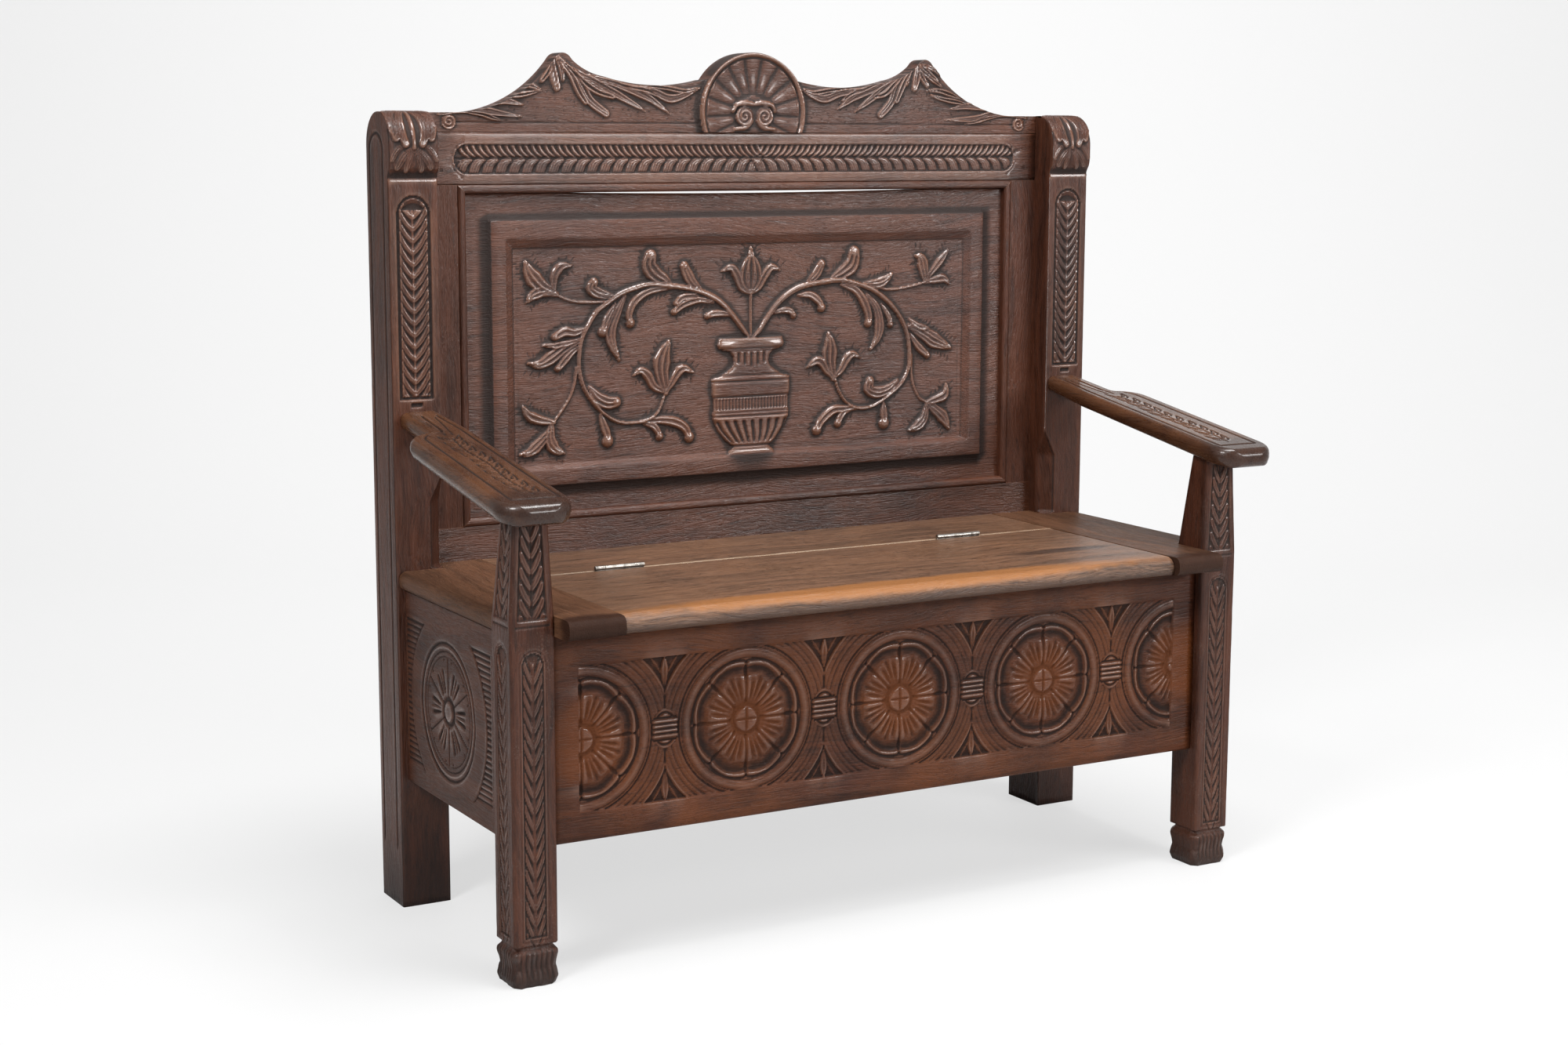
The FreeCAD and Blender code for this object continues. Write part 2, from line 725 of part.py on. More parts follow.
def makeLink(centreHeight):
    """The ribbed block between two rosettes."""
    link = body("link")
    ground = frontFace + cell("fieldDepth")
    low = centreHeight - cell("linkSize") / 2
    pitch = cell("linkSize") / cell("linkRibs")
    valley = frontFace + cell("fieldDepth") / 2
    corners = [(ground + 1, low + cell("linkSize")), (valley, low + cell("linkSize"))]
    for rib in range(int(cell("linkRibs").value), 0, -1):
        corners.append((frontFace + cell("fieldDepth") / 12, low + pitch * (rib - 0.5)))
        corners.append((valley, low + pitch * (rib - 1)))
    corners.append((ground + 1, low))
    side = outline(link, "linkSide", "YZ_Plane", corners, level=-cell("linkSize") / 2)
    pad(link, "linkPad", side, cell("linkSize"))
    return link


def makeFrontBoard():
    middle = (fieldLow + fieldTop) / 2
    spacing = cell("fieldWidth") / 4 + cell("rosetteSpread")
    start = cell("rosetteShift")
    sides = (-cell("fieldWidth") / 2, cell("fieldWidth") / 2)
    board = block("frontBoardTimber", (-legInner, legInner), (frontFace, frontBack),
                  (frontBoardLow, seatUnder))
    field = block("carvedField", sides, (frontFace, frontFace + cell("fieldDepth")), (fieldLow, fieldTop))
    reach = block("carvedReach", sides, (frontFace, frontBack), (fieldLow, fieldTop))
    rosette = makeRosette(middle)
    link = makeLink(middle)
    carving = [shifted(f"rosette{n + 3}", rosette, start + spacing * n) for n in range(-2, 3)]
    carving += [shifted(f"link{n + 3}", link, start + spacing * (n + 0.5)) for n in range(-2, 2)]
    relief = common("carvedRelief", [fuse("carvedRow", carving), reach])
    sunk = cut("frontBoardSunk", fuse("frontBoardTenoned", [board, frontTenon]), [field])
    node("front_board", fuse("front_board", [sunk, relief]))


def makeChest():
    low = sideLow
    middleY = (legBack + postFront) / 2 + cell("sideRingShift")
    middleZ = low + cell("sideRingLift")
    board = block("sidePanelTimber", (sideInner, sideOuter), (legBack, postFront), (low, seatUnder))
    outside = rod("sideRingOuter", cell("sideRingRadius"), cell("bandDepth"),
                  (sideOuter - cell("bandDepth"), middleY, middleZ), "+X")
    inside = rod("sideRingInner", cell("sideRingRadius") - cell("sideRingWidth"), cell("bandDepth"),
                 (sideOuter - cell("bandDepth"), middleY, middleZ), "+X")
    groove = cut("sideRing", outside, [inside])
    pair("side_panel", cut("right_side_panel", fuse("sidePanelTenoned", [board, sideTenon]), [groove]))

    back = block("chestBackTimber", (-postInner, postInner),
                 (chestBackFront, chestBackFront + cell("chestBackThickness")), (low, bottomRailLow))
    node("chest_back_board", fuse("chest_back_board", [back, chestBackTongue]))

    lift = cell("floorLift")
    node("chest_floor_front_batten", block("chest_floor_front_batten", (-postInner, postInner),
                                           (frontBack, frontBack + lift), (low, low + lift)))
    node("chest_floor_rear_batten", block("chest_floor_rear_batten", (-postInner, postInner),
                                          (chestBackFront - lift, chestBackFront), (low, low + lift)))
    count = int(cell("floorBoards").value)
    width = (chestBackFront - frontBack - cell("floorGap") * (count - 1)) / count
    corners = [legBox, postBox, mirrored("leftLegSpace", legBox), mirrored("leftPostSpace", postBox)]
    cornerPosts = fuse("cornerPosts", corners)
    for number in range(count):
        front = frontBack + (width + cell("floorGap")) * number
        plank = block(f"floorPlank{number + 1}", (-sideInner, sideInner), (front, front + width),
                      (low + lift, low + lift + cell("floorThickness")))
        name = f"chest_floor_board_{number + 1}"
        node(name, cut(name, plank, [cornerPosts]))


# Seat boards, lid and hinges

def makeScrew(name, x, inwards):
    """A countersunk screw through a leaf: inwards is 1 into the rear board and -1 into the lid."""
    direction = "+Y" if inwards > 0 else "-Y"
    turn = (FreeCAD.Vector(1, 0, 0), -90 * inwards)
    start = hingeY + leafInner * inwards
    height = hingeZ - cell("screwDrop")
    head = doc.addObject("Part::Cone", f"{name}Head")
    head.setExpression("Radius1", cell("screwHead").formula)
    head.setExpression("Radius2", cell("screwRadius").formula)
    head.setExpression("Height", cell("leafThickness").formula)
    place(head, turn, (x, start, height))
    shank = rod(f"{name}Shank", cell("screwRadius"), cell("screwLength"), (x, start, height), direction)
    return fuse(name, [head, shank])


def makeHinge(side, middle):
    """A butt hinge of five knuckles whose leaves stand in the gap between lid and rear board."""
    half = cell("hingeLength") / 2
    low = hingeZ - cell("leafHeight")
    shoulderZ = hingeZ - cell("knuckleRadius") - cell("knucklePlay")
    pitch = cell("hingeLength") / 5
    left = middle - half
    bore = rod(f"{side}HingeBore", cell("pinRadius") + cell("pinPlay"), cell("hingeLength"),
               (left, hingeY, hingeZ), "+X")
    screws = {}
    for leaf, inwards, knuckles in (("fixed", 1, (0, 2, 4)), ("lid", -1, (1, 3))):
        faces = (hingeY + leafInner, hingeY + leafOuter) if inwards > 0 else (hingeY - leafOuter, hingeY - leafInner)
        stem = f"{side}Hinge{leaf.title()}"
        pieces = [block(f"{stem}Plate", (left, middle + half), faces, (low, shoulderZ))]
        for knuckle in knuckles:
            start = left + pitch * knuckle
            start = start + (cell("knucklePlay") / 2 if knuckle > 0 else 0)
            stop = left + pitch * (knuckle + 1) - (cell("knucklePlay") / 2 if knuckle < 4 else 0)
            pieces.append(block(f"{stem}Riser{knuckle}", (start, stop), faces, (shoulderZ, hingeZ)))
            pieces.append(rod(f"{stem}Knuckle{knuckle}", cell("knuckleRadius"), stop - start,
                              (start, hingeY, hingeZ), "+X"))
        screws[leaf] = [makeScrew(f"{stem}Screw{n + 2}", middle + cell("screwSpacing") * n, inwards)
                        for n in (-1, 0, 1)]
        name = f"{side}_hinge_{leaf}_leaf"
        node(name, cut(name, fuse(f"{stem}Whole", pieces), [bore] + screws[leaf]))
    name = f"{side}_hinge_pin"
    node(name, rod(name, cell("pinRadius"), cell("hingeLength"), (left, hingeY, hingeZ), "+X"))
    clear = cell("knuckleRadius") + cell("knucklePlay")
    rebate = block(f"{side}HingeRebate", (left - cell("knucklePlay"), middle + half + cell("knucklePlay")),
                   (hingeY - clear, hingeY + clear), (seatTop - cell("knuckleRebate"), seatTop))
    return screws, rebate


def makeSeat():
    leftScrews, leftRebate = makeHinge("left", -cell("leftHinge"))
    rightScrews, rightRebate = makeHinge("right", cell("rightHinge"))
    fixedScrews = leftScrews["fixed"] + rightScrews["fixed"]
    lidScrews = leftScrews["lid"] + rightScrews["lid"]
    node("hinge_fixed_screws", group("hinge_fixed_screws", fixedScrews))
    node("hinge_lid_screws", group("hinge_lid_screws", lidScrews))

    rearFront = hingeY + leafOuter
    inset = cell("tongue")
    rearBoard = block("seatRearTimber", (-endInner, endInner), (rearFront, frameFace), (seatUnder, seatTop))
    rearTongue = block("seatRearTongue", (-(endInner + cell("tongue")), endInner + cell("tongue")),
                       (rearFront + inset, frameFace - inset), middleThird(seatUnder, seatTop))
    node("seat_rear_board", cut("seat_rear_board", fuse("seatRearTongued", [rearBoard, rearTongue]),
                                fixedScrews + [leftRebate, rightRebate]))

    outer = sideOuter + cell("endSideReach")
    front = frontFace - cell("endFrontReach")
    end = body("seatEndTimber")
    plan = outline(end, "seatEndPlan", "XY_Plane", [
        (endInner, front), (legInner, front), (legInner, legBack), (outer, legBack), (outer, postFront),
        (postInner, postFront), (postInner, frameFace), (endInner, frameFace)], seatUnder)
    sawn = pad(end, "seatEndPad", plan, cell("seatThickness"))

    def onNose(point):
        flat = min(abs(point.z - seatTop.value), abs(point.z - seatUnder.value)) < 0.01
        return flat and (abs(point.x - outer.value) < 0.01 or abs(point.y - front.value) < 0.01)

    rounded(end, "seatEndNose", sawn, cell("noseRadius"), onNose)
    pair("seat_end_board", cut("right_seat_end_board", end, [rearTongue]))

    node("seat_rear_cleat", block("seat_rear_cleat", (-endInner, endInner),
                                  (frameFace - cell("cleatSize"), frameFace),
                                  (seatUnder - cell("cleatSize"), seatUnder)))

    lidUnder = seatUnder + cell("lidRest")
    lidFront = frontFace - cell("lidFrontReach")
    lidBack = hingeY - leafOuter
    topRadius = cell("lidTopRadius")
    lowRadius = cell("lidLowRadius")
    lid = body("lidTimber")
    section = outline(lid, "lidSection", "YZ_Plane", [
        (lidFront + lowRadius, lidUnder, lowRadius), (lidBack, lidUnder), (lidBack, seatTop),
        (lidFront + topRadius, seatTop), (lidFront, seatTop - topRadius, topRadius),
        (lidFront, lidUnder + lowRadius)], level=-cell("lidHalfLength"))
    pad(lid, "lidPad", section, 2 * cell("lidHalfLength"))
    node("seat_lid", cut("seat_lid", lid, lidScrews + [leftRebate, rightRebate]))
    inner = cell("lidBattenOffset") - cell("lidBattenWidth") / 2
    pair("lid_batten", block("right_lid_batten", (inner, inner + cell("lidBattenWidth")),
                             (frontBack + cell("lidBattenClearance"), lidBack - cell("lidBattenClearance")),
                             (lidUnder - cell("lidBattenThickness"), lidUnder)))


# Back frame, mouldings and panel

def makePanel():
    side = openingSide + cell("panelGroove")
    low = openingLow - cell("panelGroove")
    high = openingHigh - cell("beadWidth")
    slit = cell("panelSlitHalf")
    sag = cell("panelSag")
    sagRadius = (slit * slit + sag * sag) / (2 * sag)
    panel = body("back_panel")
    shape = [(-side, low), (side, low), (side, high), (slit, high), (0, high - sag, -sagRadius),
             (-slit, high, -sagRadius), (-side, high)]
    board = pad(panel, "panelBoard", outline(panel, "panelShape", "XZ_Plane", shape, -panelBack),
                cell("panelThickness"))

    def frameStage(name, inset, level):
        edge = openingSide - inset
        return outline(panel, name, "XZ_Plane",
                       rectangle((-edge, edge), (openingLow + inset, openingHigh - inset)), level)

    crown = panelFace - cell("raisedHeight")
    bevel = cell("raisedInset") + cell("raisedBevel")
    inside = cell("raisedInset") + cell("raisedWidth")
    loft(panel, "raisedFrame", [frameStage("raisedLow", cell("raisedInset"), -panelFace),
                                frameStage("raisedHigh", bevel, -crown)])
    loft(panel, "sunkGround", [frameStage("groundHigh", inside, -crown),
                               frameStage("groundLow", inside + cell("groundBevel"), -panelFace)], "Subtractive")
    unit = cell("vaseWidth") / 2 / 66
    rise = cell("vaseHeight") / 177
    base = openingLow + cell("vaseLift")
    right = [(46, 0), (46, 8), (30, 22), (48, 60), (60, 90), (66, 112), (66, 121), (36, 128), (28, 142),
             (34, 156), (48, 163), (48, 177)]
    half = [(unit * x, base + rise * z) for x, z in right]
    vase = half + [(-x, z) for x, z in reversed(half)]
    pad(panel, "vaseRelief", outline(panel, "vaseOutline", "XZ_Plane", vase, -panelFace), cell("vaseRelief"))
    return node("back_panel", panel)


def makeMoulding(name, run, plane, edgeFirst):
    """A bead with mitred ends; its two long front edges are rounded."""
    strip = body(name)
    face = frameFace - cell("beadProud")
    sawn = pad(strip, f"{plane}Pad", outline(strip, plane, "XZ_Plane", run, -panelFace), panelFace - face)

    def onBead(point):
        return abs(point.y - face.value) < 0.01 and edgeFirst(point)

    rounded(strip, f"{plane}Bead", sawn, cell("beadRadius"), onBead)
    return strip


def makeBackFrame():
    pegs = []
    pegX = postInner - cell("stileWidth") / 2
    for across, sideName in ((pegX, "Right"), (-pegX, "Left")):
        for height, end in ((openingHigh + cell("pegInset"), "Top"), (openingLow - cell("pegInset"), "Bottom")):
            pegs.append(rod(f"peg{end}{sideName}", cell("pegRadius"), cell("frameThickness"),
                            (across, frameFace, height), "+Y"))
    node("frame_pegs", group("frame_pegs", pegs))
    dowels = [rod(f"dowel{n + 3}", cell("dowelRadius"), cell("dowelLength"),
                  (cell("dowelOffset") * n, (tenonFront + tenonBack) / 2, crestBase - cell("dowelLength") / 2), "+Z")
              for n in (-2, -1, 1, 2)]
    node("crest_dowels", group("crest_dowels", dowels))

    panel = makePanel()
    topRail = block("topRailTimber", (-postInner, postInner), (frameFace, frameBack), (openingHigh, crestBase))
    node("back_top_rail", cut("back_top_rail", fuse("topRailTenoned", [topRail, topRailTenon]),
                              [stileTenon, leftStileTenon] + pegs + dowels))
    lowRail = block("bottomRailTimber", (-postInner, postInner), (frameFace, frameBack), (bottomRailLow, openingLow))
    node("back_bottom_rail", cut("back_bottom_rail", fuse("bottomRailTenoned", [lowRail, bottomRailTenon]),
                                 [stileTenon, leftStileTenon, panel] + pegs))
    stile = block("stileTimber", (openingSide, postInner), (frameFace, frameBack), (openingLow, openingHigh))
    pair("back_stile", cut("right_back_stile", fuse("stileTenoned", [stile, stileTenon]), [panel] + pegs))

    bead = cell("beadWidth")
    side, inner = openingSide, openingSide - bead
    top, low = openingHigh, openingLow
    upright = makeMoulding("rightMoulding", [(side, low), (side, top), (inner, top - bead), (inner, low + bead)],
                           "rightBead", lambda point: abs(point.z - (low.value + top.value) / 2) < 1)
    pair("panel_moulding", upright)
    upper = makeMoulding("topMoulding", [(-inner, top - bead), (inner, top - bead), (side, top), (-side, top)],
                         "topBead", lambda point: abs(point.x) < 1)
    node("top_panel_moulding", upper)
    lower = makeMoulding("bottomMoulding", [(-side, low), (side, low), (inner, low + bead), (-inner, low + bead)],
                         "bottomBead", lambda point: abs(point.x) < 1)
    node("bottom_panel_moulding", lower)
    return dowels


# Crest board with its shell

def makeCrest(dowels):
    crest = body("crestTimber")
    peakLow = crestBase + cell("crestPeakHeight") - cell("crestPeakDrop")
    peakOut = cell("crestPeakSide") + cell("crestPeakHalf")
    peakIn = cell("crestPeakSide") - cell("crestPeakHalf")
    shellCentre = crestBase + cell("shellLift")
    neck = cell("shellRadius") * 0.9
    right = [
        (postInner, crestBase), (postInner, crestBase + cell("crestEndHeight")),
        (cell("crestShoulderSide"), crestBase + cell("crestEndHeight")),
        (peakOut, peakLow, -cell("crestOuterSweep")),
        (cell("crestPeakSide"), crestBase + cell("crestPeakHeight"), cell("crestPeakRadius")),
        (peakIn, peakLow, cell("crestPeakRadius")),
        (cell("crestValleySide"), crestBase + cell("crestValleyHeight"), -cell("crestInnerSweep")),
        (neck, crestBase + cell("crestInnerHeight"), -cell("crestValleySweep"))]
    left = [(-neck, crestBase + cell("crestInnerHeight")),
            (-cell("crestValleySide"), crestBase + cell("crestValleyHeight"), -cell("crestValleySweep")),
            (-peakIn, peakLow, -cell("crestInnerSweep")),
            (-cell("crestPeakSide"), crestBase + cell("crestPeakHeight"), cell("crestPeakRadius")),
            (-peakOut, peakLow, cell("crestPeakRadius")),
            (-cell("crestShoulderSide"), crestBase + cell("crestEndHeight"), -cell("crestOuterSweep")),
            (-postInner, crestBase + cell("crestEndHeight")), (-postInner, crestBase)]
    pad(crest, "crestPad", outline(crest, "crestOutline", "XZ_Plane", right + left, -frameBack),
        cell("frameThickness"))
    buttonX = postInner - cell("buttonInset")
    for side in (1, -1):
        pad(crest, f"crestButton{side + 2}",
            ring(crest, f"buttonCircle{side + 2}", "XZ_Plane", cell("buttonRadius"), -frameFace,
                 (buttonX * side, crestBase + cell("buttonLift"))), cell("buttonProud"))

    disc = body("shellDisc")
    middle = (0, shellCentre)
    face = frameFace - cell("shellProud")
    floor = face + cell("shellDish")
    pad(disc, "shellDiscPad", ring(disc, "shellCircle", "XZ_Plane", cell("shellRadius"), -frameBack, middle),
        frameBack - face)
    pocket(disc, "shellHollow", ring(disc, "shellDishCircle", "XZ_Plane", cell("shellRadius") - cell("shellRim"),
                                     -face, middle), cell("shellDish"))
    ribs = body("shellRibFan")
    reach = cell("shellRadius") * 1.2
    heart = (0, crestBase + cell("shellHeartLift"))
    halfRib = cell("shellRibWidth") / 2
    first = cell("shellSweep") / 2
    ray = outline(ribs, "shellRib", "XZ_Plane", [
        (reach * sine(first), reach * cosine(first)),
        (reach * sine(first) - halfRib * cosine(first), reach * cosine(first) + halfRib * sine(first)),
        (0, 0),
        (reach * sine(first) + halfRib * cosine(first), reach * cosine(first) - halfRib * sine(first))],
        level=-floor, shift=heart)
    rib = pad(ribs, "shellRibPad", ray, cell("shellRibHeight"))
    polar(ribs, "shellRibs", rib, ray, cell("shellSweep"), cell("shellRibs"))
    boss = rod("shellHeart", cell("shellHeartRadius"), cell("shellDish"), (0, face, heart[1]), "+Y")
    dish = rod("shellDishSpace", cell("shellRadius") - cell("shellRim") / 2, cell("shellDish"),
               (0, face, shellCentre), "+Y")
    fan = common("shellFan", [fuse("shellRays", [ribs, boss]), dish])
    volutes = [rod(f"volute{side + 2}", cell("voluteRadius"), cell("shellDish"),
                   (cell("voluteOffset") * side, face, crestBase + cell("voluteRadius")), "+Y") for side in (-1, 1)]
    above = block("aboveJoint", (-postInner, postInner), (face - cell("shellProud"), frameBack),
                  (crestBase, crestBase + postTop))
    shell = common("shellAboveJoint", [fuse("shellWhole", [disc, fan] + volutes), above])
    node("crest_board", cut("crest_board", fuse("crestWithShell", [crest, shell]), dowels))


makePosts()
legStub = makeLegs()
makeArms(legStub)
makeFrontBoard()
makeChest()
makeSeat()
makeCrest(makeBackFrame())
doc.recompute()

for item in doc.Objects:
    if "Invalid" in item.State or "Error" in item.State:
        raise RuntimeError(f"{item.Name} ({item.Label}) did not build: {item.State}")
for item in nodes:
    if item.Shape.isNull() or not item.Shape.isValid():
        raise RuntimeError(f"{item.Label} has no valid shape")

os.makedirs("parts", exist_ok=True)
for item in nodes:
    item.Shape.exportStep(f"parts/{item.Label}.step")
    box = item.Shape.BoundBox
    print(f"{item.Label:26s} {len(item.Shape.Solids)} solid(s) {item.Shape.Volume / 1000:9.1f} cm3 "
          f"X {box.XMin:.1f}..{box.XMax:.1f} Y {box.YMin:.1f}..{box.YMax:.1f} Z {box.ZMin:.1f}..{box.ZMax:.1f}")
print(len(nodes), "sub-parts")
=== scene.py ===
import math
import bpy
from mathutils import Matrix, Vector
import numpy as np


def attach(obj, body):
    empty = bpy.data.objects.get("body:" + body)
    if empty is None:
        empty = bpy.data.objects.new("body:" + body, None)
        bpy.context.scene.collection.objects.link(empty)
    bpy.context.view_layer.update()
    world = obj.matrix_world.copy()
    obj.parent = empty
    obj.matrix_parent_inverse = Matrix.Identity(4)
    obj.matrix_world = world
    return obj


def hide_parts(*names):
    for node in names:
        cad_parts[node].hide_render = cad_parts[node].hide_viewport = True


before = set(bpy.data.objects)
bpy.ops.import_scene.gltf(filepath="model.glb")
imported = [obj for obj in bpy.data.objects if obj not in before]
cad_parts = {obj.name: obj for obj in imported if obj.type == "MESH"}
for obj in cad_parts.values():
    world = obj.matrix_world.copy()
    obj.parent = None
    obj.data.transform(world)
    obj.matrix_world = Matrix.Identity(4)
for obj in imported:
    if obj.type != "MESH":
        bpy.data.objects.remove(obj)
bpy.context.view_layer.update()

rng = np.random.default_rng(11)


# mesh making: everything below is worked in millimetres and scaled once

def meshPiece(name, points, quads, caps, body, relief=None, flat=()):
    sizes = np.concatenate([np.full(len(quads), 4), [len(c) for c in caps]]).astype(np.int32)
    loops = np.concatenate([np.asarray(quads).ravel(), *[np.asarray(c) for c in caps]]).astype(np.int32)
    mesh = bpy.data.meshes.new(name)
    mesh.vertices.add(len(points))
    mesh.vertices.foreach_set("co", (np.asarray(points, np.float32) * 0.001).ravel())
    mesh.loops.add(len(loops))
    mesh.loops.foreach_set("vertex_index", loops)
    mesh.polygons.add(len(sizes))
    mesh.polygons.foreach_set("loop_start", np.concatenate([[0], np.cumsum(sizes)[:-1]]).astype(np.int32))
    smooth = np.ones(len(sizes), bool)
    smooth[len(quads):] = False
    for first, last in flat:
        smooth[first:last] = False
    mesh.polygons.foreach_set("use_smooth", smooth)
    mesh.update(calc_edges=True)
    if relief is not None:
        layer = mesh.attributes.new("relief", "FLOAT", "POINT")
        layer.data.foreach_set("value", np.asarray(relief, np.float32))
    piece = bpy.data.objects.new(name, mesh)
    bpy.context.scene.collection.objects.link(piece)
    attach(piece, body)
    return piece


def gridQuads(rows, cols, wrap=False):
    i, j = np.meshgrid(np.arange(rows - 1), np.arange(cols if wrap else cols - 1), indexing="ij")
    k = (j + 1) % cols
    return np.stack([i * cols + j, i * cols + k, (i + 1) * cols + k, (i + 1) * cols + j], -1).reshape(-1, 4)


def slab(name, front, axis, level, relief):
    rows, cols = front.shape[:2]
    index = np.arange(rows * cols).reshape(rows, cols)
    rim = np.concatenate([index[0, :-1], index[:-1, -1], index[-1, :0:-1], index[:0:-1, 0]])
    points = front.reshape(-1, 3)
    back = points[rim].copy()
    back[:, axis] = level
    under = len(points) + np.arange(len(rim))
    quads = gridQuads(rows, cols)
    walls = np.stack([rim, under, np.roll(under, -1), np.roll(rim, -1)], -1)
    shade = np.concatenate([relief.ravel(), np.zeros(len(rim))])
    return meshPiece(name, np.vstack([points, back]), np.vstack([quads, walls]), [under[::-1]], "bench",
                     shade, flat=[(len(quads), len(quads) + len(walls))])


def ringLoft(name, rings, body, relief):
    rows, cols = rings.shape[:2]
    quads = gridQuads(rows, cols, wrap=True)
    return meshPiece(name, rings.reshape(-1, 3), quads,
                     [np.arange(cols)[::-1], np.arange(cols) + (rows - 1) * cols], body, relief.ravel())


hands = {1: "Right", -1: "Left"}


def sided(side, x, y, z, relief):
    points = np.stack([x * side, y, z], -1)
    return (points, relief) if side > 0 else (points[:, ::-1], relief[:, ::-1])


def blur(field, across, times=3):
    for axis in (0, 1):
        for _ in range(times):
            pad = [(0, 0), (0, 0)]
            pad[axis] = (across + 1, across)
            total = np.cumsum(np.pad(field, pad, mode="edge"), axis=axis)
            upper = np.take(total, np.arange(2 * across + 1, total.shape[axis]), axis=axis)
            lower = np.take(total, np.arange(0, total.shape[axis] - 2 * across - 1), axis=axis)
            field = (upper - lower) / (2 * across + 1)
    return field


def reliefOf(height, across=4):
    return height - 0.65 * blur(height, across) - 0.35 * blur(height, across * 2)


def wander(shape, across, amount):
    rough = blur(rng.standard_normal(shape), across)
    return rough / max(1e-9, np.abs(rough).max()) * amount


def ease(x, low, high):
    t = np.clip((x - low) / (high - low), 0, 1)
    return t * t * (3 - 2 * t)


# carving tools: a canvas holds two ground coordinates and the height above the ground

def bell(distance, width):
    # 1 on a line and 0 away from it
    return np.exp(-(distance / width) ** 2)


def canvasOn(u, w):
    return {"u": u, "w": w, "h": np.zeros(u.shape)}


def smoothPath(points, step=3.0):
    p = np.array(points, float)
    ends = np.vstack([2 * p[0] - p[1], p, 2 * p[-1] - p[-2]])
    out = []
    for i in range(len(p) - 1):
        a, b, c, d = ends[i:i + 4]
        n = max(2, int(np.hypot(*(c - b)) / step))
        t = np.linspace(0, 1, n, endpoint=False)[:, None]
        bend, swing = (2 * a - 5 * b + 4 * c - d) * t ** 2, (3 * b - a - 3 * c + d) * t ** 3
        out.append(0.5 * (2 * b + (c - a) * t + bend + swing))
    return np.vstack(out + [p[-1:]])


def followPath(canvas, path, reach):
    low, high = path.min(0) - reach, path.max(0) + reach
    u, w = canvas["u"], canvas["w"]
    pick = np.nonzero((u > low[0]) & (u < high[0]) & (w > low[1]) & (w < high[1]))
    spots = np.stack([u[pick], w[pick]], 1)
    start, step = path[:-1], np.diff(path, axis=0)
    length = np.hypot(step[:, 0], step[:, 1])
    best = np.full(len(spots), 1e9)
    t, side = np.zeros(len(spots)), np.zeros(len(spots))
    gone = 0.0
    for a, d, l in zip(start, step, length):
        rel = spots - a
        s = np.clip((rel @ d) / (l * l), 0, 1)
        off = rel - s[:, None] * d
        dist = np.hypot(off[:, 0], off[:, 1])
        near = dist < best
        best[near] = dist[near]
        t[near] = (gone + s[near] * l)
        side[near] = np.sign(d[0] * rel[near, 1] - d[1] * rel[near, 0])
        gone += l
    return pick, t / gone, side * best, best


def leaf(canvas, points, width, height=5.0, tip="point", flutes=2, depth=0.35, base=0.35, rise=0.35,
         level=0.0):
    path = smoothPath(points)
    pick, t, side, dist = followPath(canvas, path, width)
    end = {"point": 0.1, "round": 0.75, "same": 0.9}[tip]
    half = width / 2 * np.interp(t, [0, 0.25, 0.6, 0.85, 1], [base, 0.75, 1, 0.5 + 0.5 * end, end])
    q = dist / half
    flute = 0.5 - 0.5 * np.cos(2 * np.pi * flutes * (side / half * 0.5 + 0.5))
    rib = height * (1 - rise + rise * t * 1.6) * np.sqrt(np.clip(1 - q ** 4, 0, 1))
    rib = rib * (1 - depth * (1 - flute))
    h = canvas["h"]
    h[pick] = np.where(q < 1, np.maximum(h[pick], level + rib), h[pick])


def stem(canvas, points, widths, height=4.5, groove=0.3, level=0.0):
    path = smoothPath(points)
    pick, t, side, dist = followPath(canvas, path, max(widths))
    half = np.interp(t, np.linspace(0, 1, len(widths)), widths) / 2
    q = dist / half
    rib = height * np.sqrt(np.clip(1 - q * q, 0, 1))
    rib = rib * (1 - groove * bell(side / half + 0.25, 0.18))
    h = canvas["h"]
    h[pick] = np.where(q < 1, np.maximum(h[pick], level + rib), h[pick])


def bead(canvas, centre, radius, height, level=0.0):
    r = np.hypot(canvas["u"] - centre[0], canvas["w"] - centre[1]) / radius
    pick = r < 1
    canvas["h"][pick] = np.maximum(canvas["h"][pick], level + height * np.sqrt(1 - r[pick] ** 2))


def gouge(canvas, points, width, depth, taper=True):
    path = smoothPath(points)
    pick, t, side, dist = followPath(canvas, path, width)
    half = width / 2 * (np.sin(np.pi * np.clip(t, 0.03, 0.97)) ** 0.5 if taper else 1)
    q = dist / half
    canvas["h"][pick] -= np.where(q < 1, depth * (1 - q * q), 0)


def pricks(canvas, spots, radius=1.6, depth=1.0):
    for x, y in spots:
        near = np.nonzero((np.abs(canvas["u"] - x) < radius * 2) & (np.abs(canvas["w"] - y) < radius * 2))
        r = np.hypot(canvas["u"][near] - x, canvas["w"][near] - y) / radius
        canvas["h"][near] -= depth * np.clip(1 - r * r, 0, 1)


# materials

def nodeGroup(name, inputs, outputs):
    group = bpy.data.node_groups.new(name, "ShaderNodeTree")
    for label, kind, value in inputs:
        socket = group.interface.new_socket(name=label, in_out="INPUT", socket_type=kind)
        if value is not None:
            socket.default_value = value
    for label in outputs:
        group.interface.new_socket(name=label, in_out="OUTPUT", socket_type="NodeSocketFloat")
    return group, group.nodes.new("NodeGroupInput"), group.nodes.new("NodeGroupOutput")


def add(tree, kind, **settings):
    node = tree.nodes.new(kind)
    for key, value in settings.items():
        setattr(node, key, value)
    return node


def maths(tree, operation, a, b=None, c=None, clamp=False):
    node = add(tree, "ShaderNodeMath", operation=operation, use_clamp=clamp)
    for i, value in enumerate((a, b, c)):
        if value is None:
            continue
        if isinstance(value, (int, float)):
            node.inputs[i].default_value = value
        else:
            tree.links.new(value, node.inputs[i])
    return node.outputs[0]


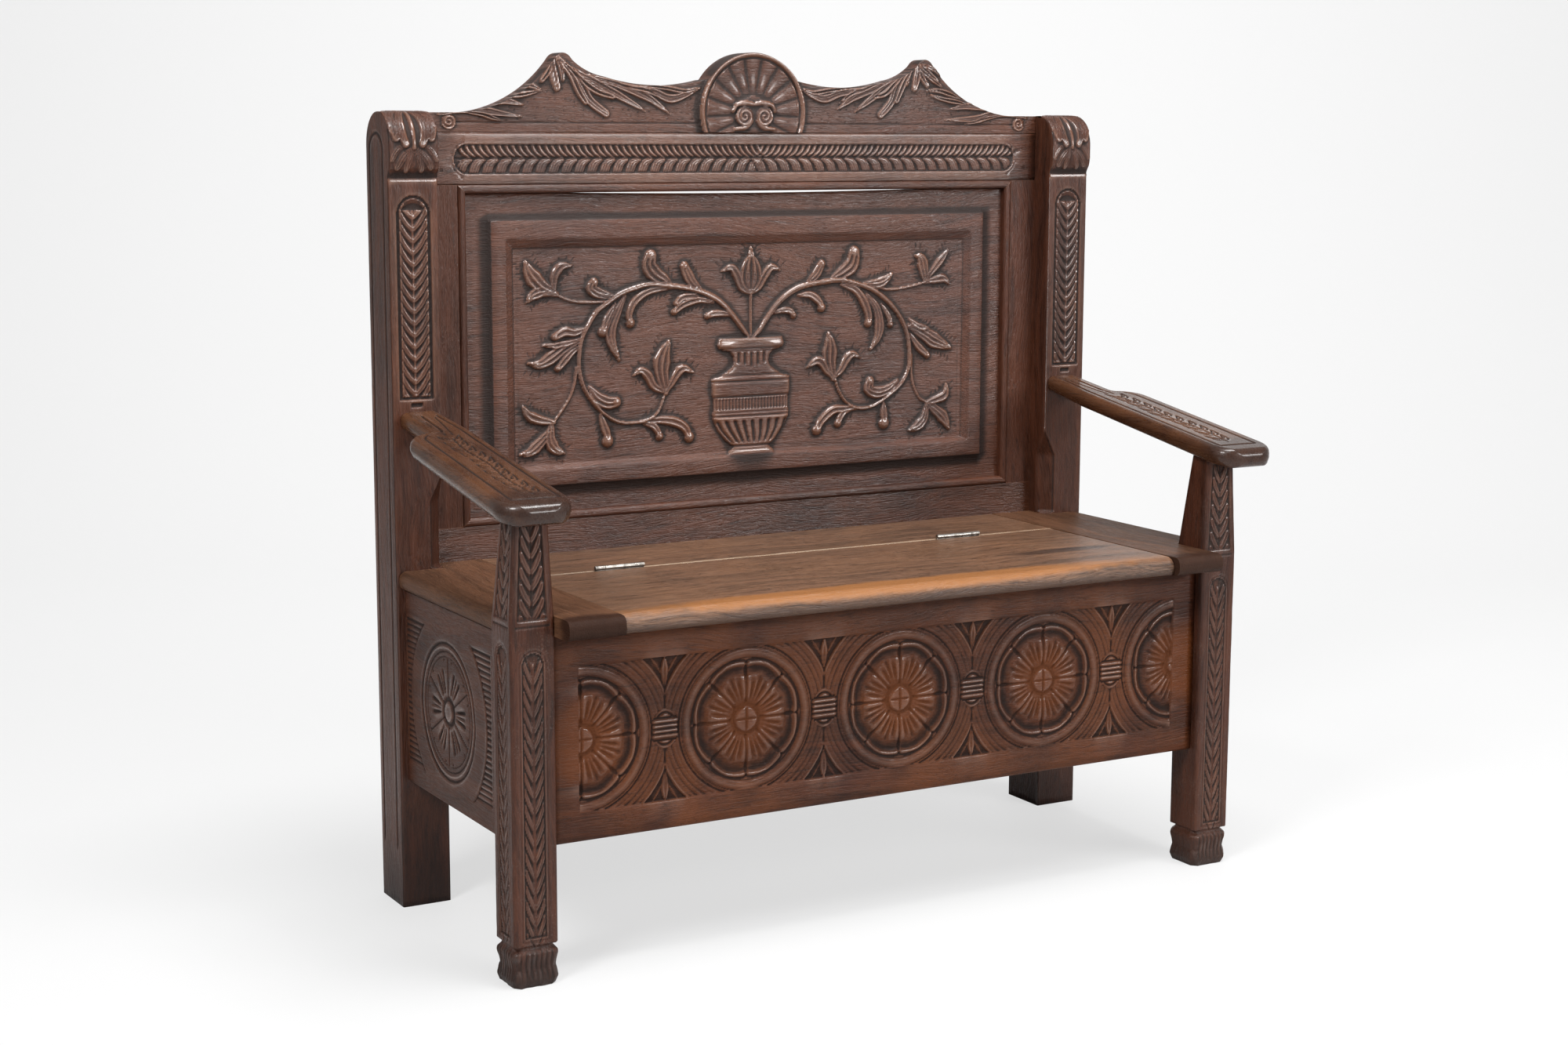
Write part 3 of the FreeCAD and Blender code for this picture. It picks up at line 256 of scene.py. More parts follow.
def noise(tree, vector, scale, detail=3.0, rough=0.55, twist=0.0):
    node = add(tree, "ShaderNodeTexNoise")
    node.inputs["Scale"].default_value = scale
    node.inputs["Detail"].default_value = detail
    node.inputs["Roughness"].default_value = rough
    node.inputs["Distortion"].default_value = twist
    tree.links.new(vector, node.inputs["Vector"])
    return node.outputs["Fac"]


def spread(tree, value, low, high, outLow=0.0, outHigh=1.0):
    node = add(tree, "ShaderNodeMapRange", interpolation_type="SMOOTHSTEP")
    for label, number in (("From Min", low), ("From Max", high), ("To Min", outLow), ("To Max", outHigh)):
        node.inputs[label].default_value = number
    tree.links.new(value, node.inputs["Value"])
    return node.outputs["Result"]


def blend(tree, factor, a, b, how="MIX"):
    node = add(tree, "ShaderNodeMix", data_type="RGBA", blend_type=how)
    slots = [s for s in node.inputs if s.enabled]
    for socket, value in zip(slots, (factor, a, b)):
        if isinstance(value, (int, float)):
            socket.default_value = value
        elif isinstance(value, tuple):
            socket.default_value = (*value, 1)
        else:
            tree.links.new(value, socket)
    return [s for s in node.outputs if s.enabled][0]


def makeGrainGroup():
    tree, source, sink = nodeGroup("walnutGrain", [
        ("Place", "NodeSocketVector", None), ("Run", "NodeSocketVector", (1, 1, 0.06)),
        ("Size", "NodeSocketFloat", 1.0)], ["Figure", "Fibre", "Streak", "Pores"])
    drift = add(tree, "ShaderNodeTexNoise")
    drift.inputs["Scale"].default_value = 2.5
    drift.inputs["Detail"].default_value = 2
    tree.links.new(source.outputs["Place"], drift.inputs["Vector"])
    bent = add(tree, "ShaderNodeVectorMath", operation="MULTIPLY_ADD")
    bent.inputs[1].default_value = (0.09, 0.09, 0.09)
    tree.links.new(drift.outputs["Color"], bent.inputs[0])
    tree.links.new(source.outputs["Place"], bent.inputs[2])
    stretch = add(tree, "ShaderNodeVectorMath", operation="MULTIPLY")
    tree.links.new(bent.outputs[0], stretch.inputs[0])
    tree.links.new(source.outputs["Run"], stretch.inputs[1])
    sized = add(tree, "ShaderNodeVectorMath", operation="SCALE")
    tree.links.new(stretch.outputs[0], sized.inputs[0])
    tree.links.new(source.outputs["Size"], sized.inputs["Scale"])
    run = sized.outputs[0]
    tree.links.new(spread(tree, noise(tree, run, 24, 5, 0.62, 0.8), 0.34, 0.66), sink.inputs["Figure"])
    tree.links.new(spread(tree, noise(tree, run, 260, 3, 0.65, 0.2), 0.3, 0.7), sink.inputs["Fibre"])
    tree.links.new(spread(tree, noise(tree, run, 85, 5, 0.75, 0.5), 0.53, 0.68), sink.inputs["Streak"])
    tree.links.new(spread(tree, noise(tree, run, 700, 2, 0.5, 0.0), 0.58, 0.7), sink.inputs["Pores"])
    return tree


def makeWearGroup():
    tree, source, sink = nodeGroup(
        "carvedShadeAndWear", [("Place", "NodeSocketVector", None), ("Relief", "NodeSocketFloat", 0.0)],
        ["Hollow", "Ridge", "Shine", "Patch"])
    patch = noise(tree, source.outputs["Place"], 5, 4, 0.6, 0.4)
    speck = noise(tree, source.outputs["Place"], 260, 3, 0.6)
    uneven = maths(tree, "MULTIPLY_ADD", speck, 0.9, 0.55)
    cut = maths(tree, "MULTIPLY", source.outputs["Relief"], uneven)
    # Hollow darkens the relief's hollows: painted shade and dirt
    tree.links.new(spread(tree, cut, -0.04, -0.95), sink.inputs["Hollow"])
    # Ridge lightens the raised relief: wear and a painted highlight
    ridge = maths(tree, "MULTIPLY", spread(tree, source.outputs["Relief"], 0.2, 1.3),
                  spread(tree, patch, 0.2, 0.6))
    tree.links.new(ridge, sink.inputs["Ridge"])
    tree.links.new(spread(tree, source.outputs["Relief"], 0.1, 1.1), sink.inputs["Shine"])
    tree.links.new(spread(tree, patch, 0.32, 0.68), sink.inputs["Patch"])
    return tree


def makeEdgeGroup():
    tree, source, sink = nodeGroup("rubbedEdges", [
        ("Place", "NodeSocketVector", None), ("Reach", "NodeSocketFloat", 0.003)], ["Edge"])
    bevel = add(tree, "ShaderNodeBevel", samples=4)
    tree.links.new(source.outputs["Reach"], bevel.inputs["Radius"])
    geometry = add(tree, "ShaderNodeNewGeometry")
    dot = add(tree, "ShaderNodeVectorMath", operation="DOT_PRODUCT")
    tree.links.new(bevel.outputs[0], dot.inputs[0])
    tree.links.new(geometry.outputs["Normal"], dot.inputs[1])
    turned = maths(tree, "SUBTRACT", 1.0, dot.outputs["Value"])
    rough = spread(tree, noise(tree, source.outputs["Place"], 60, 4, 0.65), 0.3, 0.7)
    tree.links.new(maths(tree, "MULTIPLY", spread(tree, turned, 0.01, 0.25), rough), sink.inputs["Edge"])
    return tree


def makeDustGroup():
    tree, source, sink = nodeGroup("dustAndLowDarkening", [
        ("Place", "NodeSocketVector", None), ("Floor", "NodeSocketFloat", 0.12)],
        ["Dust", "Low"])
    parts = add(tree, "ShaderNodeSeparateXYZ")
    tree.links.new(source.outputs["Place"], parts.inputs[0])
    # Low darkens the wood towards the bottom, up to the Floor height
    low = add(tree, "ShaderNodeMapRange", interpolation_type="SMOOTHSTEP")
    tree.links.new(parts.outputs["Z"], low.inputs["Value"])
    low.inputs["From Min"].default_value = 0.0
    tree.links.new(source.outputs["Floor"], low.inputs["From Max"])
    low.inputs["To Min"].default_value = 1.0
    low.inputs["To Max"].default_value = 0.0
    speck = spread(tree, noise(tree, source.outputs["Place"], 340, 4, 0.7), 0.52, 0.7)
    cloud = spread(tree, noise(tree, source.outputs["Place"], 14, 4, 0.6), 0.42, 0.7)
    tree.links.new(maths(tree, "MULTIPLY", speck, cloud), sink.inputs["Dust"])
    tree.links.new(low.outputs["Result"], sink.inputs["Low"])
    return tree


shared = {"grain": makeGrainGroup(), "wear": makeWearGroup(), "edge": makeEdgeGroup(),
          "dust": makeDustGroup()}


def placeGroup(tree, name, **values):
    node = add(tree, "ShaderNodeGroup", node_tree=shared[name])
    for label, value in values.items():
        if hasattr(value, "is_linked"):
            tree.links.new(value, node.inputs[label])
        else:
            node.inputs[label].default_value = value
    return node


def newMaterial(name):
    material = bpy.data.materials.new(name)
    material.use_nodes = True
    return material, material.node_tree, material.node_tree.nodes["Principled BSDF"]


def woodMaterial(name, look):
    material, tree, shader = newMaterial(name)
    place = add(tree, "ShaderNodeTexCoord").outputs["Object"]
    relief = add(tree, "ShaderNodeAttribute", attribute_name="relief").outputs["Fac"]
    grain = placeGroup(tree, "grain", Place=place, Run=look["run"], Size=look["size"])
    # the relief group gives painted shade and dirt in the hollows, and wear with a painted highlight on the
    # ridges
    wear = placeGroup(tree, "wear", Place=place, Relief=relief)
    edge = placeGroup(tree, "edge", Place=place, Reach=look["reach"])
    dust = placeGroup(tree, "dust", Place=place, Floor=look["floor"])
    # lighter on rubbed edges for wear, and on ridges for wear with a painted highlight
    wornAndHighlit = maths(tree, "MAXIMUM", maths(tree, "MULTIPLY", wear.outputs["Ridge"], look["ridge"]),
                   maths(tree, "MULTIPLY", edge.outputs["Edge"], look["edges"]))
    colour = blend(tree, grain.outputs["Figure"], look["dark"], look["mid"])
    # each layer is a mask, how strongly it counts, and its colour
    layers = [
        (wear.outputs["Patch"], look["patch"], look["warm"]),
        (grain.outputs["Fibre"], look["fibre"], look["light"]),
        (grain.outputs["Streak"], look["streak"], look["pore"]),
        (grain.outputs["Pores"], look["pores"], look["pore"]),
        # the rubbed layer is wear and painted highlight; the Hollow layer is painted shade and dirt
        (wornAndHighlit, 1.0, look["wornAndHighlight"]),
        (wear.outputs["Hollow"], look["hollow"], look["deep"]),
        (dust.outputs["Dust"], look["dust"], look["dustColour"]),
        (dust.outputs["Low"], look["low"], look["deep"])]
    for spot, reach, tint, amount in look["zones"]:
        layers.append((zoneMask(tree, place, spot, reach), amount, tint))
    for mask, amount, tint in layers:
        colour = blend(tree, maths(tree, "MULTIPLY", mask, amount), colour, tint)
    tree.links.new(colour, shader.inputs["Base Color"])
    rough = maths(tree, "MULTIPLY_ADD", grain.outputs["Fibre"], 0.16, look["rough"])
    rough = maths(tree, "ADD", rough, maths(tree, "MULTIPLY", wear.outputs["Hollow"], 0.3))
    rough = maths(tree, "SUBTRACT", rough, maths(tree, "MULTIPLY", wornAndHighlit, 0.12), clamp=True)
    tree.links.new(rough, shader.inputs["Roughness"])
    height = maths(tree, "MULTIPLY_ADD", grain.outputs["Pores"], -0.5, grain.outputs["Fibre"])
    dents = noise(tree, place, 45, 3, 0.5)
    height = maths(tree, "ADD", height, maths(tree, "MULTIPLY", dents, look["dents"]))
    bump = add(tree, "ShaderNodeBump")
    bump.inputs["Strength"].default_value = look["bump"]
    bump.inputs["Distance"].default_value = 0.0012
    tree.links.new(height, bump.inputs["Height"])
    tree.links.new(bump.outputs[0], shader.inputs["Normal"])
    shader.inputs["Specular IOR Level"].default_value = look["specular"]
    smooth = maths(tree, "MAXIMUM", wear.outputs["Shine"], edge.outputs["Edge"])
    polish = maths(tree, "MULTIPLY_ADD", smooth, look["polish"], look["coat"])
    tree.links.new(maths(tree, "MINIMUM", polish, 1.0), shader.inputs["Coat Weight"])
    shader.inputs["Coat Roughness"].default_value = look["coatRough"]
    return material


def zoneMask(tree, place, spot, reach):
    # 1 near the spot and 0 beyond the reach along each axis, with a ragged edge
    offset = add(tree, "ShaderNodeVectorMath", operation="SUBTRACT")
    tree.links.new(place, offset.inputs[0])
    offset.inputs[1].default_value = spot
    scaled = add(tree, "ShaderNodeVectorMath", operation="DIVIDE")
    tree.links.new(offset.outputs[0], scaled.inputs[0])
    scaled.inputs[1].default_value = reach
    size = add(tree, "ShaderNodeVectorMath", operation="LENGTH")
    tree.links.new(scaled.outputs[0], size.inputs[0])
    ragged = maths(tree, "MULTIPLY_ADD", noise(tree, place, 22, 5, 0.65), 0.9, size.outputs["Value"])
    return spread(tree, ragged, 1.75, 1.15)


# What a user would change: the grain's run and size, the colours, how strong each layer is, the sheen.
# A zone is a spot, its reach, its colour and how strongly it counts, in metres.
# deep colours the hollows with painted shade and dirt and darkens the wood towards the floor;
# wornAndHighlight lightens rubbed edges as wear and the ridges as wear with a painted highlight
walnut = {
    "run": (1, 1, 0.07), "size": 1.6,
    "dark": (0.015, 0.0044, 0.0026), "mid": (0.054, 0.0158, 0.0076), "warm": (0.092, 0.027, 0.0090),
    "light": (0.098, 0.036, 0.019), "wornAndHighlight": (0.19, 0.080, 0.040), "pore": (0.007, 0.0030, 0.0022),
    "deep": (0.0075, 0.0036, 0.0026), "dustColour": (0.30, 0.25, 0.22),
    "patch": 0.35, "fibre": 0.3, "streak": 0.55, "pores": 0.5, "ridge": 0.5, "edges": 0.5, "reach": 0.0025,
    "hollow": 0.86, "dust": 0.05, "low": 0.6, "floor": 0.1, "zones": (),
    "rough": 0.30, "specular": 0.26, "coat": 0.0, "coatRough": 0.16, "polish": 0.9, "bump": 0.4, "dents": 1.4}
looks = {
    "walnutUpright": {**walnut, "specular": 0.3},
    "walnutAcross": {**walnut, "run": (0.07, 1, 1), "specular": 0.42, "patch": 0.5},
    "walnutPanel": {**walnut, "run": (0.06, 1, 1), "ridge": 0.45, "patch": 0.5,
                    "mid": (0.066, 0.0225, 0.0128), "dark": (0.024, 0.0075, 0.0045),
                    "light": (0.110, 0.044, 0.027), "dents": 2.4, "specular": 0.4},
    "walnutFront": {**walnut, "run": (0.06, 1, 1), "warm": (0.120, 0.035, 0.0085), "patch": 0.7,
                    "ridge": 0.45, "hollow": 0.85, "specular": 0.14, "polish": 0.55,
                    "mid": (0.045, 0.0125, 0.0056), "dark": (0.012, 0.0036, 0.0022),
                    "zones": [((0.0072 + 0.2406 * n, -0.186, 0.311), (0.054, 0.03, 0.054),
                               (0.125, 0.034, 0.0072), 0.55) for n in range(-2, 3)]},
    "walnutSide": {**walnut, "run": (1, 0.08, 1), "rough": 0.42, "mid": (0.050, 0.0190, 0.0112)},
    "walnutArm": {**walnut, "run": (1, 0.06, 1), "mid": (0.060, 0.0225, 0.0105),
                  "warm": (0.115, 0.045, 0.016), "light": (0.092, 0.041, 0.020), "patch": 0.55,
                  "hollow": 0.95, "edges": 0.2, "low": 0.0, "rough": 0.22, "specular": 0.22, "coat": 0.35,
                  "coatRough": 0.1, "dents": 0.5, "bump": 0.18,
                  "zones": [((side * 0.556, -0.25, 0.64), (0.07, 0.05, 0.04), (0.016, 0.007, 0.005), 0.7)
                            for side in (1, -1)]},
    "walnutLeg": {**walnut, "floor": 0.075, "low": 0.7, "dust": 0.22, "deep": (0.014, 0.0085, 0.0065)},
    "seatBoard": {**walnut, "run": (0.035, 1, 1), "size": 2.4, "dark": (0.018, 0.0085, 0.0050),
                  "mid": (0.122, 0.0580, 0.0325), "warm": (0.185, 0.082, 0.034),
                  "light": (0.235, 0.132, 0.080), "wornAndHighlight": (0.32, 0.155, 0.060),
                  "pore": (0.018, 0.008, 0.005), "fibre": 0.55, "edges": 0.3, "reach": 0.004, "rough": 0.26,
                  "specular": 0.36, "streak": 0.9, "pores": 0.75, "low": 0.0, "polish": 0.4,
                  "zones": [((-0.02, -0.224, 0.480), (0.40, 0.026, 0.012), (0.300, 0.118, 0.032), 0.75),
                            # front arris
                            ((0.0, -0.238, 0.454), (0.6, 0.03, 0.013), (0.045, 0.020, 0.010), 0.75),
                            # painted shade under the nose
                            ((0.33, -0.11, 0.48), (0.09, 0.014, 0.02), (0.020, 0.010, 0.007), 0.75),
                            # dark knot
                            ((0.0, 0.0605, 0.480), (0.43, 0.0030, 0.004), (0.34, 0.25, 0.17), 0.6)]},
    # hinge line
    "endBoard": {**walnut, "run": (1, 0.05, 1), "dark": (0.030, 0.0130, 0.0076),
                 "mid": (0.094, 0.041, 0.0220), "warm": (0.12, 0.052, 0.023), "light": (0.14, 0.073, 0.043),
                 "wornAndHighlight": (0.24, 0.115, 0.05), "pore": (0.014, 0.0065, 0.0045), "fibre": 0.45, "edges": 0.4,
                 "reach": 0.004, "rough": 0.38, "specular": 0.08, "size": 2.0, "low": 0.0, "polish": 0.0,
                 "zones": [((-0.478, -0.25, 0.468), (0.070, 0.030, 0.05), (0.022, 0.0095, 0.006), 0.92),
                           ((0.478, -0.25, 0.468), (0.070, 0.030, 0.05), (0.026, 0.012, 0.008), 0.85)]},
    "plainBoard": {**walnut, "run": (0.06, 1, 1), "dark": (0.04, 0.021, 0.013),
                   "mid": (0.085, 0.046, 0.028), "warm": (0.10, 0.052, 0.030),
                   "light": (0.13, 0.078, 0.050), "wornAndHighlight": (0.18, 0.11, 0.07), "rough": 0.6, "dust": 0.3},
}
wood = {name: woodMaterial(name, look) for name, look in looks.items()}
print("materials ready:", len(wood))


def steelMaterial():
    look = {"bright": (0.36, 0.34, 0.31), "dull": (0.17, 0.155, 0.14), "rust": (0.12, 0.06, 0.035),
            "rough": 0.3}
    material, tree, shader = newMaterial("hingeSteel")
    place = add(tree, "ShaderNodeTexCoord").outputs["Object"]
    stain = spread(tree, noise(tree, place, 90, 4, 0.65), 0.4, 0.7)
    rust = spread(tree, noise(tree, place, 300, 4, 0.7), 0.58, 0.7)
    colour = blend(tree, stain, look["bright"], look["dull"])
    colour = blend(tree, maths(tree, "MULTIPLY", rust, 0.5), colour, look["rust"])
    tree.links.new(colour, shader.inputs["Base Color"])
    rough = maths(tree, "MULTIPLY_ADD", stain, 0.25, look["rough"])
    tree.links.new(rough, shader.inputs["Roughness"])
    metal = maths(tree, "SUBTRACT", 1.0, maths(tree, "MULTIPLY", rust, 0.6))
    tree.links.new(metal, shader.inputs["Metallic"])
    bump = add(tree, "ShaderNodeBump")
    bump.inputs["Strength"].default_value = 0.25
    bump.inputs["Distance"].default_value = 0.0005
    tree.links.new(stain, bump.inputs["Height"])
    tree.links.new(bump.outputs[0], shader.inputs["Normal"])
    return material


def finishPiece(piece, material, slot, *nodes):
    piece.data.materials.clear()
    piece.data.materials.append(material)
    if nodes:
        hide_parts(*nodes)


# back panel: vase, scrolling stems and lilies

panel = {"half": 470.0, "low": 521.5, "high": 994.5, "slit": 300.0, "sag": 3.4, "face": 231.5,
         "back": 241.5, "frameHalf": 415.0, "frameLow": 576.5, "frameHigh": 957.5, "frameRise": 7.0,
         "step": 1.8, "groundHalf": 379.0, "groundLow": 607.0, "groundHigh": 916.0, "innerHalf": 391.0,
         "innerLow": 601.5, "innerHigh": 928.4}
leftStem = [(0, 777), (-17, 799), (-39, 824), (-61, 840), (-94, 852), (-136, 859), (-164, 861), (-189, 856),
            (-211, 849), (-233, 836), (-250, 824), (-264, 804), (-274, 785), (-278, 763), (-278, 740),
            (-272, 718), (-261, 699), (-244, 680), (-222, 665), (-200, 660), (-178, 661), (-161, 667),
            (-150, 677), (-142, 696)]
rightStem = [(6, 777), (18, 788), (30, 805), (50, 828), (75, 845), (100, 853), (140, 858), (165, 858),
             (195, 850), (220, 840), (245, 822), (265, 800), (278, 775), (283, 750), (283, 725), (275, 705),
             (262, 690), (240, 675), (215, 663), (190, 662), (170, 672), (157, 690), (150, 708)]
# points, width, tip, flutes; a fifth number is the bead that the tip curls into
panelLeaves = [
    ([(-130, 858), (-140, 866), (-155, 875), (-165, 888), (-163, 902)], 20, "round", 3, 8),
    ([(-80, 850), (-95, 862), (-103, 875), (-108, 886)], 14, "round", 3, 6),
    ([(-225, 846), (-245, 850), (-258, 858), (-254, 866)], 14, "round", 3, 5),
    ([(-313, 851), (-335, 862), (-352, 880), (-361, 899)], 20, "point", 3, 0),
    ([(-316, 853), (-316, 875), (-305, 890), (-288, 891)], 12, "point", 2, 0),
    ([(-315, 852), (-335, 855), (-350, 850), (-359, 840)], 14, "point", 3, 0),
    ([(-60, 832), (-85, 836), (-110, 830), (-125, 820)], 10, "round", 2, 5),
    ([(-80, 836), (-92, 842), (-112, 840), (-122, 832)], 9, "round", 2, 4),
    ([(-28, 812), (-45, 815), (-60, 815), (-70, 812)], 9, "round", 2, 5),
    ([(-130, 855), (-165, 851), (-188, 838), (-198, 820), (-196, 806)], 10, "round", 2, 7),
    ([(-205, 845), (-218, 820), (-228, 795), (-225, 775), (-214, 752)], 14, "point", 3, 0),
    ([(-220, 835), (-235, 812), (-240, 795)], 8, "round", 2, 8),
    ([(-268, 800), (-285, 795), (-300, 797), (-316, 790)], 12, "round", 2, 5),
    ([(-275, 785), (-300, 775), (-320, 762), (-340, 752), (-358, 754)], 16, "point", 3, 0),
    ([(-278, 775), (-292, 765), (-305, 752), (-312, 745)], 10, "round", 2, 5),
    ([(-276, 786), (-290, 782), (-315, 778), (-336, 779)], 9, "point", 2, 0),
    ([(-318, 668), (-340, 672), (-358, 680), (-367, 694)], 13, "point", 2, 0),
    ([(-322, 668), (-325, 645), (-318, 630), (-302, 621)], 15, "point", 3, 0),
    ([(-322, 660), (-335, 645), (-355, 628), (-373, 624)], 14, "point", 3, 0),
    ([(-262, 715), (-250, 700), (-235, 692), (-220, 692)], 16, "round", 3, 7),
    ([(-245, 675), (-240, 660), (-235, 645), (-234, 636)], 11, "round", 2, 9),
    ([(-180, 661), (-150, 662), (-125, 658), (-108, 648), (-101, 634)], 12, "round", 2, 8),
    ([(-175, 658), (-160, 654), (-153, 646), (-150, 638)], 9, "round", 2, 6),
    ([(-139, 702), (-146, 735), (-142, 760), (-133, 778)], 22, "point", 3, 0),
    ([(-139, 702), (-158, 712), (-168, 728), (-180, 736), (-192, 729)], 12, "point", 2, 0),
    ([(-139, 702), (-128, 718), (-118, 732), (-108, 736), (-93, 729)], 12, "point", 2, 0),
    ([(3, 843), (-12, 852), (-20, 870), (-30, 882), (-46, 877)], 12, "point", 2, 0),
    ([(3, 843), (16, 852), (27, 870), (38, 881), (53, 876)], 12, "point", 2, 0),
    ([(3, 843), (-8, 862), (-6, 885), (3, 902)], 12, "point", 2, 0),
    ([(3, 843), (14, 862), (12, 885), (3, 902)], 12, "point", 2, 0),
    ([(3, 843), (3, 875), (3, 912)], 14, "point", 2, 0),
    ([(145, 862), (163, 870), (178, 882), (182, 900)], 20, "round", 3, 8),
    ([(100, 856), (115, 868), (122, 880), (125, 884)], 12, "round", 3, 6),
    ([(200, 852), (225, 852), (240, 858), (251, 867)], 13, "point", 3, 0),
    ([(312, 852), (308, 872), (303, 888), (292, 893)], 16, "point", 3, 0),
    ([(312, 855), (330, 875), (345, 892), (354, 902)], 11, "point", 2, 0),
    ([(314, 852), (330, 855), (345, 856), (355, 847)], 12, "point", 2, 0),
    ([(85, 838), (105, 838), (120, 828), (125, 818)], 10, "round", 2, 7),
    ([(40, 812), (55, 816), (70, 815), (76, 808)], 8, "round", 2, 5),
    ([(160, 852), (185, 843), (200, 825), (208, 805), (208, 792)], 12, "round", 2, 7),
    ([(205, 835), (222, 815), (228, 790), (225, 770), (212, 750)], 14, "point", 3, 0),
    ([(232, 820), (245, 800), (248, 788)], 7, "round", 2, 5),
    ([(283, 795), (300, 783), (320, 780)], 9, "point", 2, 0),
    ([(282, 785), (310, 772), (330, 760), (360, 747)], 20, "point", 4, 0),
    ([(284, 772), (300, 752), (316, 738)], 10, "round", 2, 5),
    ([(316, 664), (335, 668), (350, 675), (352, 692)], 13, "point", 2, 0),
    ([(318, 662), (335, 650), (348, 638), (358, 620)], 16, "point", 3, 0),
    ([(316, 660), (312, 640), (300, 628), (283, 621)], 14, "point", 3, 0),
    ([(262, 700), (245, 688), (225, 684), (210, 690), (212, 702)], 15, "round", 3, 6),
    ([(237, 668), (238, 652), (238, 636)], 11, "round", 2, 9),
    ([(190, 662), (165, 662), (145, 660), (125, 645), (118, 632)], 12, "round", 2, 8),
    ([(178, 660), (165, 656), (158, 648), (155, 640)], 9, "round", 2, 6),
    ([(147, 710), (140, 735), (140, 760), (137, 779)], 22, "point", 3, 0),
    ([(147, 710), (135, 722), (125, 735), (115, 737), (100, 728)], 12, "point", 2, 0),
    ([(147, 710), (160, 722), (170, 738), (180, 745), (195, 739)], 12, "point", 2, 0),
]
# level and depth of the lines cut round the vase, then level and half width of its outline
vaseLines = [(762, 1.6), (758.5, 1.2), (690.5, 2.2), (713, 2.0), (661.5, 2.0), (667, 1.4), (616, 2.0),
             (610.5, 1.2), (722, 1.4)]
vaseOutline = [(597, 47), (601, 46), (605, 40), (609, 37), (615, 30), (625, 43), (640, 56), (652, 62),
               (659, 65), (668, 66), (669, 64), (689, 64), (690, 66), (694, 66), (695, 67), (717, 67),
               (718, 66), (721, 54), (728, 42), (735, 33), (742, 30), (750, 31), (757, 37), (760.5, 50),
               (762, 54), (768, 57), (777, 54)]


def carveVase(canvas):
    x, z = canvas["u"] - 3, canvas["w"]
    levels, halves = zip(*vaseOutline)
    half = np.interp(z, levels, halves)
    q = x / half
    body = 3.0 + 4.0 * np.sqrt(np.clip(1 - q * q, 0, 1))
    for slot in (-22, -12, -1, 10, 21):  # cuts on the neck
        foot = 733 + abs(slot) / 4
        cut = 2.6 * bell(x - slot, 1.9) * ease(z, foot, foot + 4)
        body -= cut * (1 - ease(z, 754, 758))
    for line, deep in vaseLines:
        body -= deep * bell(z - line, 1.3)
    body -= 2.2 * ((z > 671) & (z < 688)) * np.clip(np.cos(x * 2 * np.pi / 5.4) + 0.2, 0, 1)
    fan = x / np.maximum(half, 1) * 65
    lean = (fan + (z - 655) * 0.16) * 2 * np.pi / 15
    body -= 3.0 * ease(z, 619, 625) * (1 - ease(z, 651, 657)) * np.clip(np.cos(lean) * 1.6 - 0.3, 0, 1)
    body += 1.2 * bell(z - 767, 4) + 0.8 * bell(z - 658, 3)
    inside = (np.abs(q) < 1) & (z > 597) & (z < 777)
    rounded = body[inside] * ease(1 - np.abs(q[inside]), -0.02, 0.04)
    canvas["h"][inside] = np.maximum(canvas["h"][inside], rounded)


def toolMarks(canvas, points, width):
    path = smoothPath(points, 6.5)
    along = np.gradient(path, axis=0)
    along /= np.hypot(along[:, 0], along[:, 1])[:, None]
    for (x, z), (dx, dz) in zip(path[1:], along[1:]):
        for side in (-1, 1):
            nx, nz = -dz * side, dx * side
            start, end = width * 0.55 + 1.0, width * 0.55 + rng.uniform(6, 11)
            gouge(canvas, [(x + nx * start, z + nz * start),
                           (x + nx * end + dx * 4, z + nz * end + dz * 4)], 3.0, 0.9)


mainWidths = [7, 9, 10, 9, 8, 8, 7, 7, 6, 5, 4, 3]
# points, widths, height and groove
panelStems = [
    (leftStem, mainWidths, 5.2, 0.3),
    (rightStem, mainWidths, 5.2, 0.3),
    ([(3, 843), (3, 810), (3, 777)], [5, 5, 5], 3.8, 0.0),
    ([(-235, 838), (-265, 838), (-290, 841), (-313, 850)], [5, 3.6, 3.4], 3.4, 0.0),
    ([(222, 845), (250, 842), (280, 845), (310, 851)], [5, 3.6, 3.4], 3.4, 0.0),
    ([(-283, 745), (-285, 725), (-292, 705), (-303, 688), (-318, 669)], [5, 4, 3.6], 3.2, 0.0),
    ([(287, 740), (288, 710), (293, 690), (303, 672), (315, 665)], [5, 4, 3.6], 3.2, 0.0)]


def panelGrid():
    # lines close together over the carved ground and at the frame's steps
    p = panel
    edges = [p["half"], 455, 435, p["frameHalf"] + 1.2, p["frameHalf"] - 0.3, p["frameHalf"] - 2.5, 402, 394]
    xs = np.concatenate([-np.array(edges), np.arange(-392, 392.1, p["step"]), np.array(edges)[::-1]])
    foot = [p["low"], 535, 555, p["frameLow"] - 1.2, p["frameLow"] + 0.3, p["frameLow"] + 2.5, 588, 597]
    head = [935, 945, p["frameHigh"] - 2.5, p["frameHigh"] - 0.3, p["frameHigh"] + 1.2, 970, 985, p["high"]]
    return np.meshgrid(xs, np.concatenate([foot, np.arange(600, 930, p["step"]), head]))


def carveGround(x, z):
    canvas = canvasOn(x, z)
    carveVase(canvas)
    for points, widths, height, groove in panelStems:
        stem(canvas, points, widths, height, groove)
    marks = canvasOn(x, z)
    for points, width, tip, flutes, curl in panelLeaves:
        toolMarks(marks, points, width)
        leaf(canvas, points, width * 1.4, 5.2, tip, flutes, depth=0.5)
        if curl:
            bead(canvas, points[-1], curl * 1.05, 6.4)
    h = canvas["h"]
    bare = h < 0.05
    h += np.where(bare, marks["h"] + wander(h.shape, 2, 0.45) + wander(h.shape, 12, 0.5), 0)
    return np.minimum(h, 7.0)


